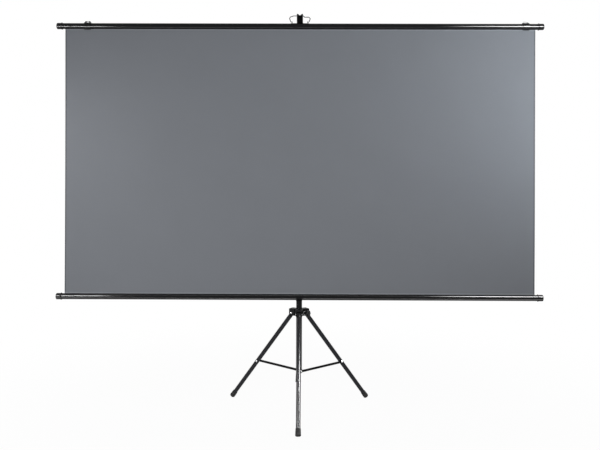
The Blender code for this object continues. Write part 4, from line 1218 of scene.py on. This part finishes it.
# Floor, background and light
def make_floor():
    """A pale floor that keeps the object's shadow and runs out into the white background."""
    bm = bmesh.new()
    bmesh.ops.create_circle(bm, cap_ends=True, radius=40, segments=96)
    mesh = held_mesh(bm, "floor")
    finish = Finish("pale_floor", "", (0.9, 0.9, 0.9), 0.9)
    x, y, _ = finish.parts_of(finish.place())
    away = (x * x + y * y).power(0.5)
    fade = away.step(0.6, 2.4)
    share = 0.965 + 0.035 * fade
    matt = finish.node("ShaderNodeBsdfDiffuse", (), {"Color": (0.9, 0.9, 0.9, 1)})
    glow = finish.node("ShaderNodeEmission", (), {"Color": (1, 1, 1, 1), "Strength": 1.0})
    seen = finish.node("ShaderNodeMixShader", (), {0: share, 1: matt.outputs[0], 2: glow.outputs[0]})
    whole = finish.node("ShaderNodeMixShader", (), {0: finish.seen(), 1: matt.outputs[0], 2: seen.outputs[0]})
    finish.tree.links.new(whole.outputs[0], finish.tree.nodes["Material Output"].inputs["Surface"])
    mesh.materials.append(finish.material)
    floor = bpy.data.objects.new("floor", mesh)
    bpy.context.scene.collection.objects.link(floor)


def make_world():
    """White where it is seen, and a faint cool light on surfaces."""
    world = bpy.data.worlds.new("studio")
    bpy.context.scene.world = world
    world.use_nodes = True
    studio = Tree(world.node_tree)
    studio.tree.nodes.clear()
    backdrop = studio.node("ShaderNodeBackground", (), {"Color": (1, 1, 1, 1)})
    room = studio.node("ShaderNodeBackground", (), {"Color": (0.95, 0.97, 1.0, 1), "Strength": 0.35})
    mix = studio.node("ShaderNodeMixShader", (), {
        0: studio.seen(), 1: room.outputs[0], 2: backdrop.outputs[0]})
    studio.node("ShaderNodeOutputWorld", (), {"Surface": mix.outputs[0]})


def make_light(name, place, target, size, radiance, reflected, tint=(1, 1, 1), only=()):
    """A soft box of a given brightness, seen in reflections only, or lighting surfaces only."""
    data = bpy.data.lights.new(name, "AREA")
    data.shape = "RECTANGLE"
    data.size, data.size_y = size
    data.energy = radiance * math.pi * size[0] * size[1]
    data.color = tint
    light = bpy.data.objects.new(name, data)
    light.location = place
    light.rotation_euler = (Vector(target) - Vector(place)).to_track_quat("-Z", "Y").to_euler()
    light.visible_glossy = reflected
    light.visible_diffuse = not reflected
    light.visible_camera = False
    bpy.context.scene.collection.objects.link(light)
    if only:
        pieces = bpy.data.collections.new(name + "_pieces")
        for piece_name in only:
            pieces.objects.link(bpy.data.objects[piece_name])
        light.light_linking.receiver_collection = pieces


make_floor()
make_world()

# Lamps that light the cloth evenly from the front, more at the right and a little at the left
make_light("broad_front", (-0.55, -3.0, 0.491), (0, BAR_Y, 1.0), (2.6, 1.8), 4.8, False)
make_light("fabric_right", (1.539, -0.908, 1.28), (1.578, BAR_Y, 2.6), (0.5, 0.7), 14.4, False,
           (0.90, 0.98, 1.05))
make_light("fabric_left", (-1.2, -0.508, 1.405), (-1.199, BAR_Y, 0.6), (0.3, 0.4), 4.4, False)
# Boxes mirrored as the bright lines near the bars' ends. The right one's edge fades in steps.
for start, end, share in ((0.87, 0.97, 0.17), (0.97, 1.09, 0.57), (1.09, 1.20, 0.87), (1.20, 1.76, 1.0)):
    x = (start + end) / 2
    make_light("box_right", (x, -0.80, 1.86), (x, BAR_Y, 0.54), (end - start, 0.52), 215 * share, True)
make_light("box_left", (-1.63, -1.42, 1.229), (-1.63, BAR_Y, 0.193), (0.64, 0.35), 215, True)
# Long boxes mirrored as the faint line along each bar, and three for the front leg's line
upper_pieces = ["upper_bar", "upper_cap_left", "upper_cap_right", "left_hanger", "right_hanger"]
lower_pieces = ["lower_bar", "lower_cap_left", "lower_cap_right"]
make_light("upper_line", (0, -1.08, 0.02), (0, -1.08, 2.0), (4.4, 0.25), 17, True, only=upper_pieces)
make_light("lower_line", (0, -0.36, 0.02), (0, -0.36, 2.0), (4.4, 0.20), 27, True, only=lower_pieces)
make_light("lower_sky", (0, -0.67, 2.54), (0, -0.67, 0.5), (4.4, 0.25), 20, True, only=lower_pieces)
for name, place, size, radiance in (("leg_line_low", (1.27, -0.885, 1.19), (0.85, 1.0), 135),
                                    ("leg_line_high", (0.86, -0.69, 1.78), (0.5, 0.4), 45),
                                    ("leg_line_left", (-1.27, -0.885, 1.19), (0.7, 0.8), 32)):
    make_light(name, place, (0, -0.13, 0.22), size, radiance, True, only=["leg_front_rod"])

bpy.context.scene.view_settings.view_transform = "Standard"
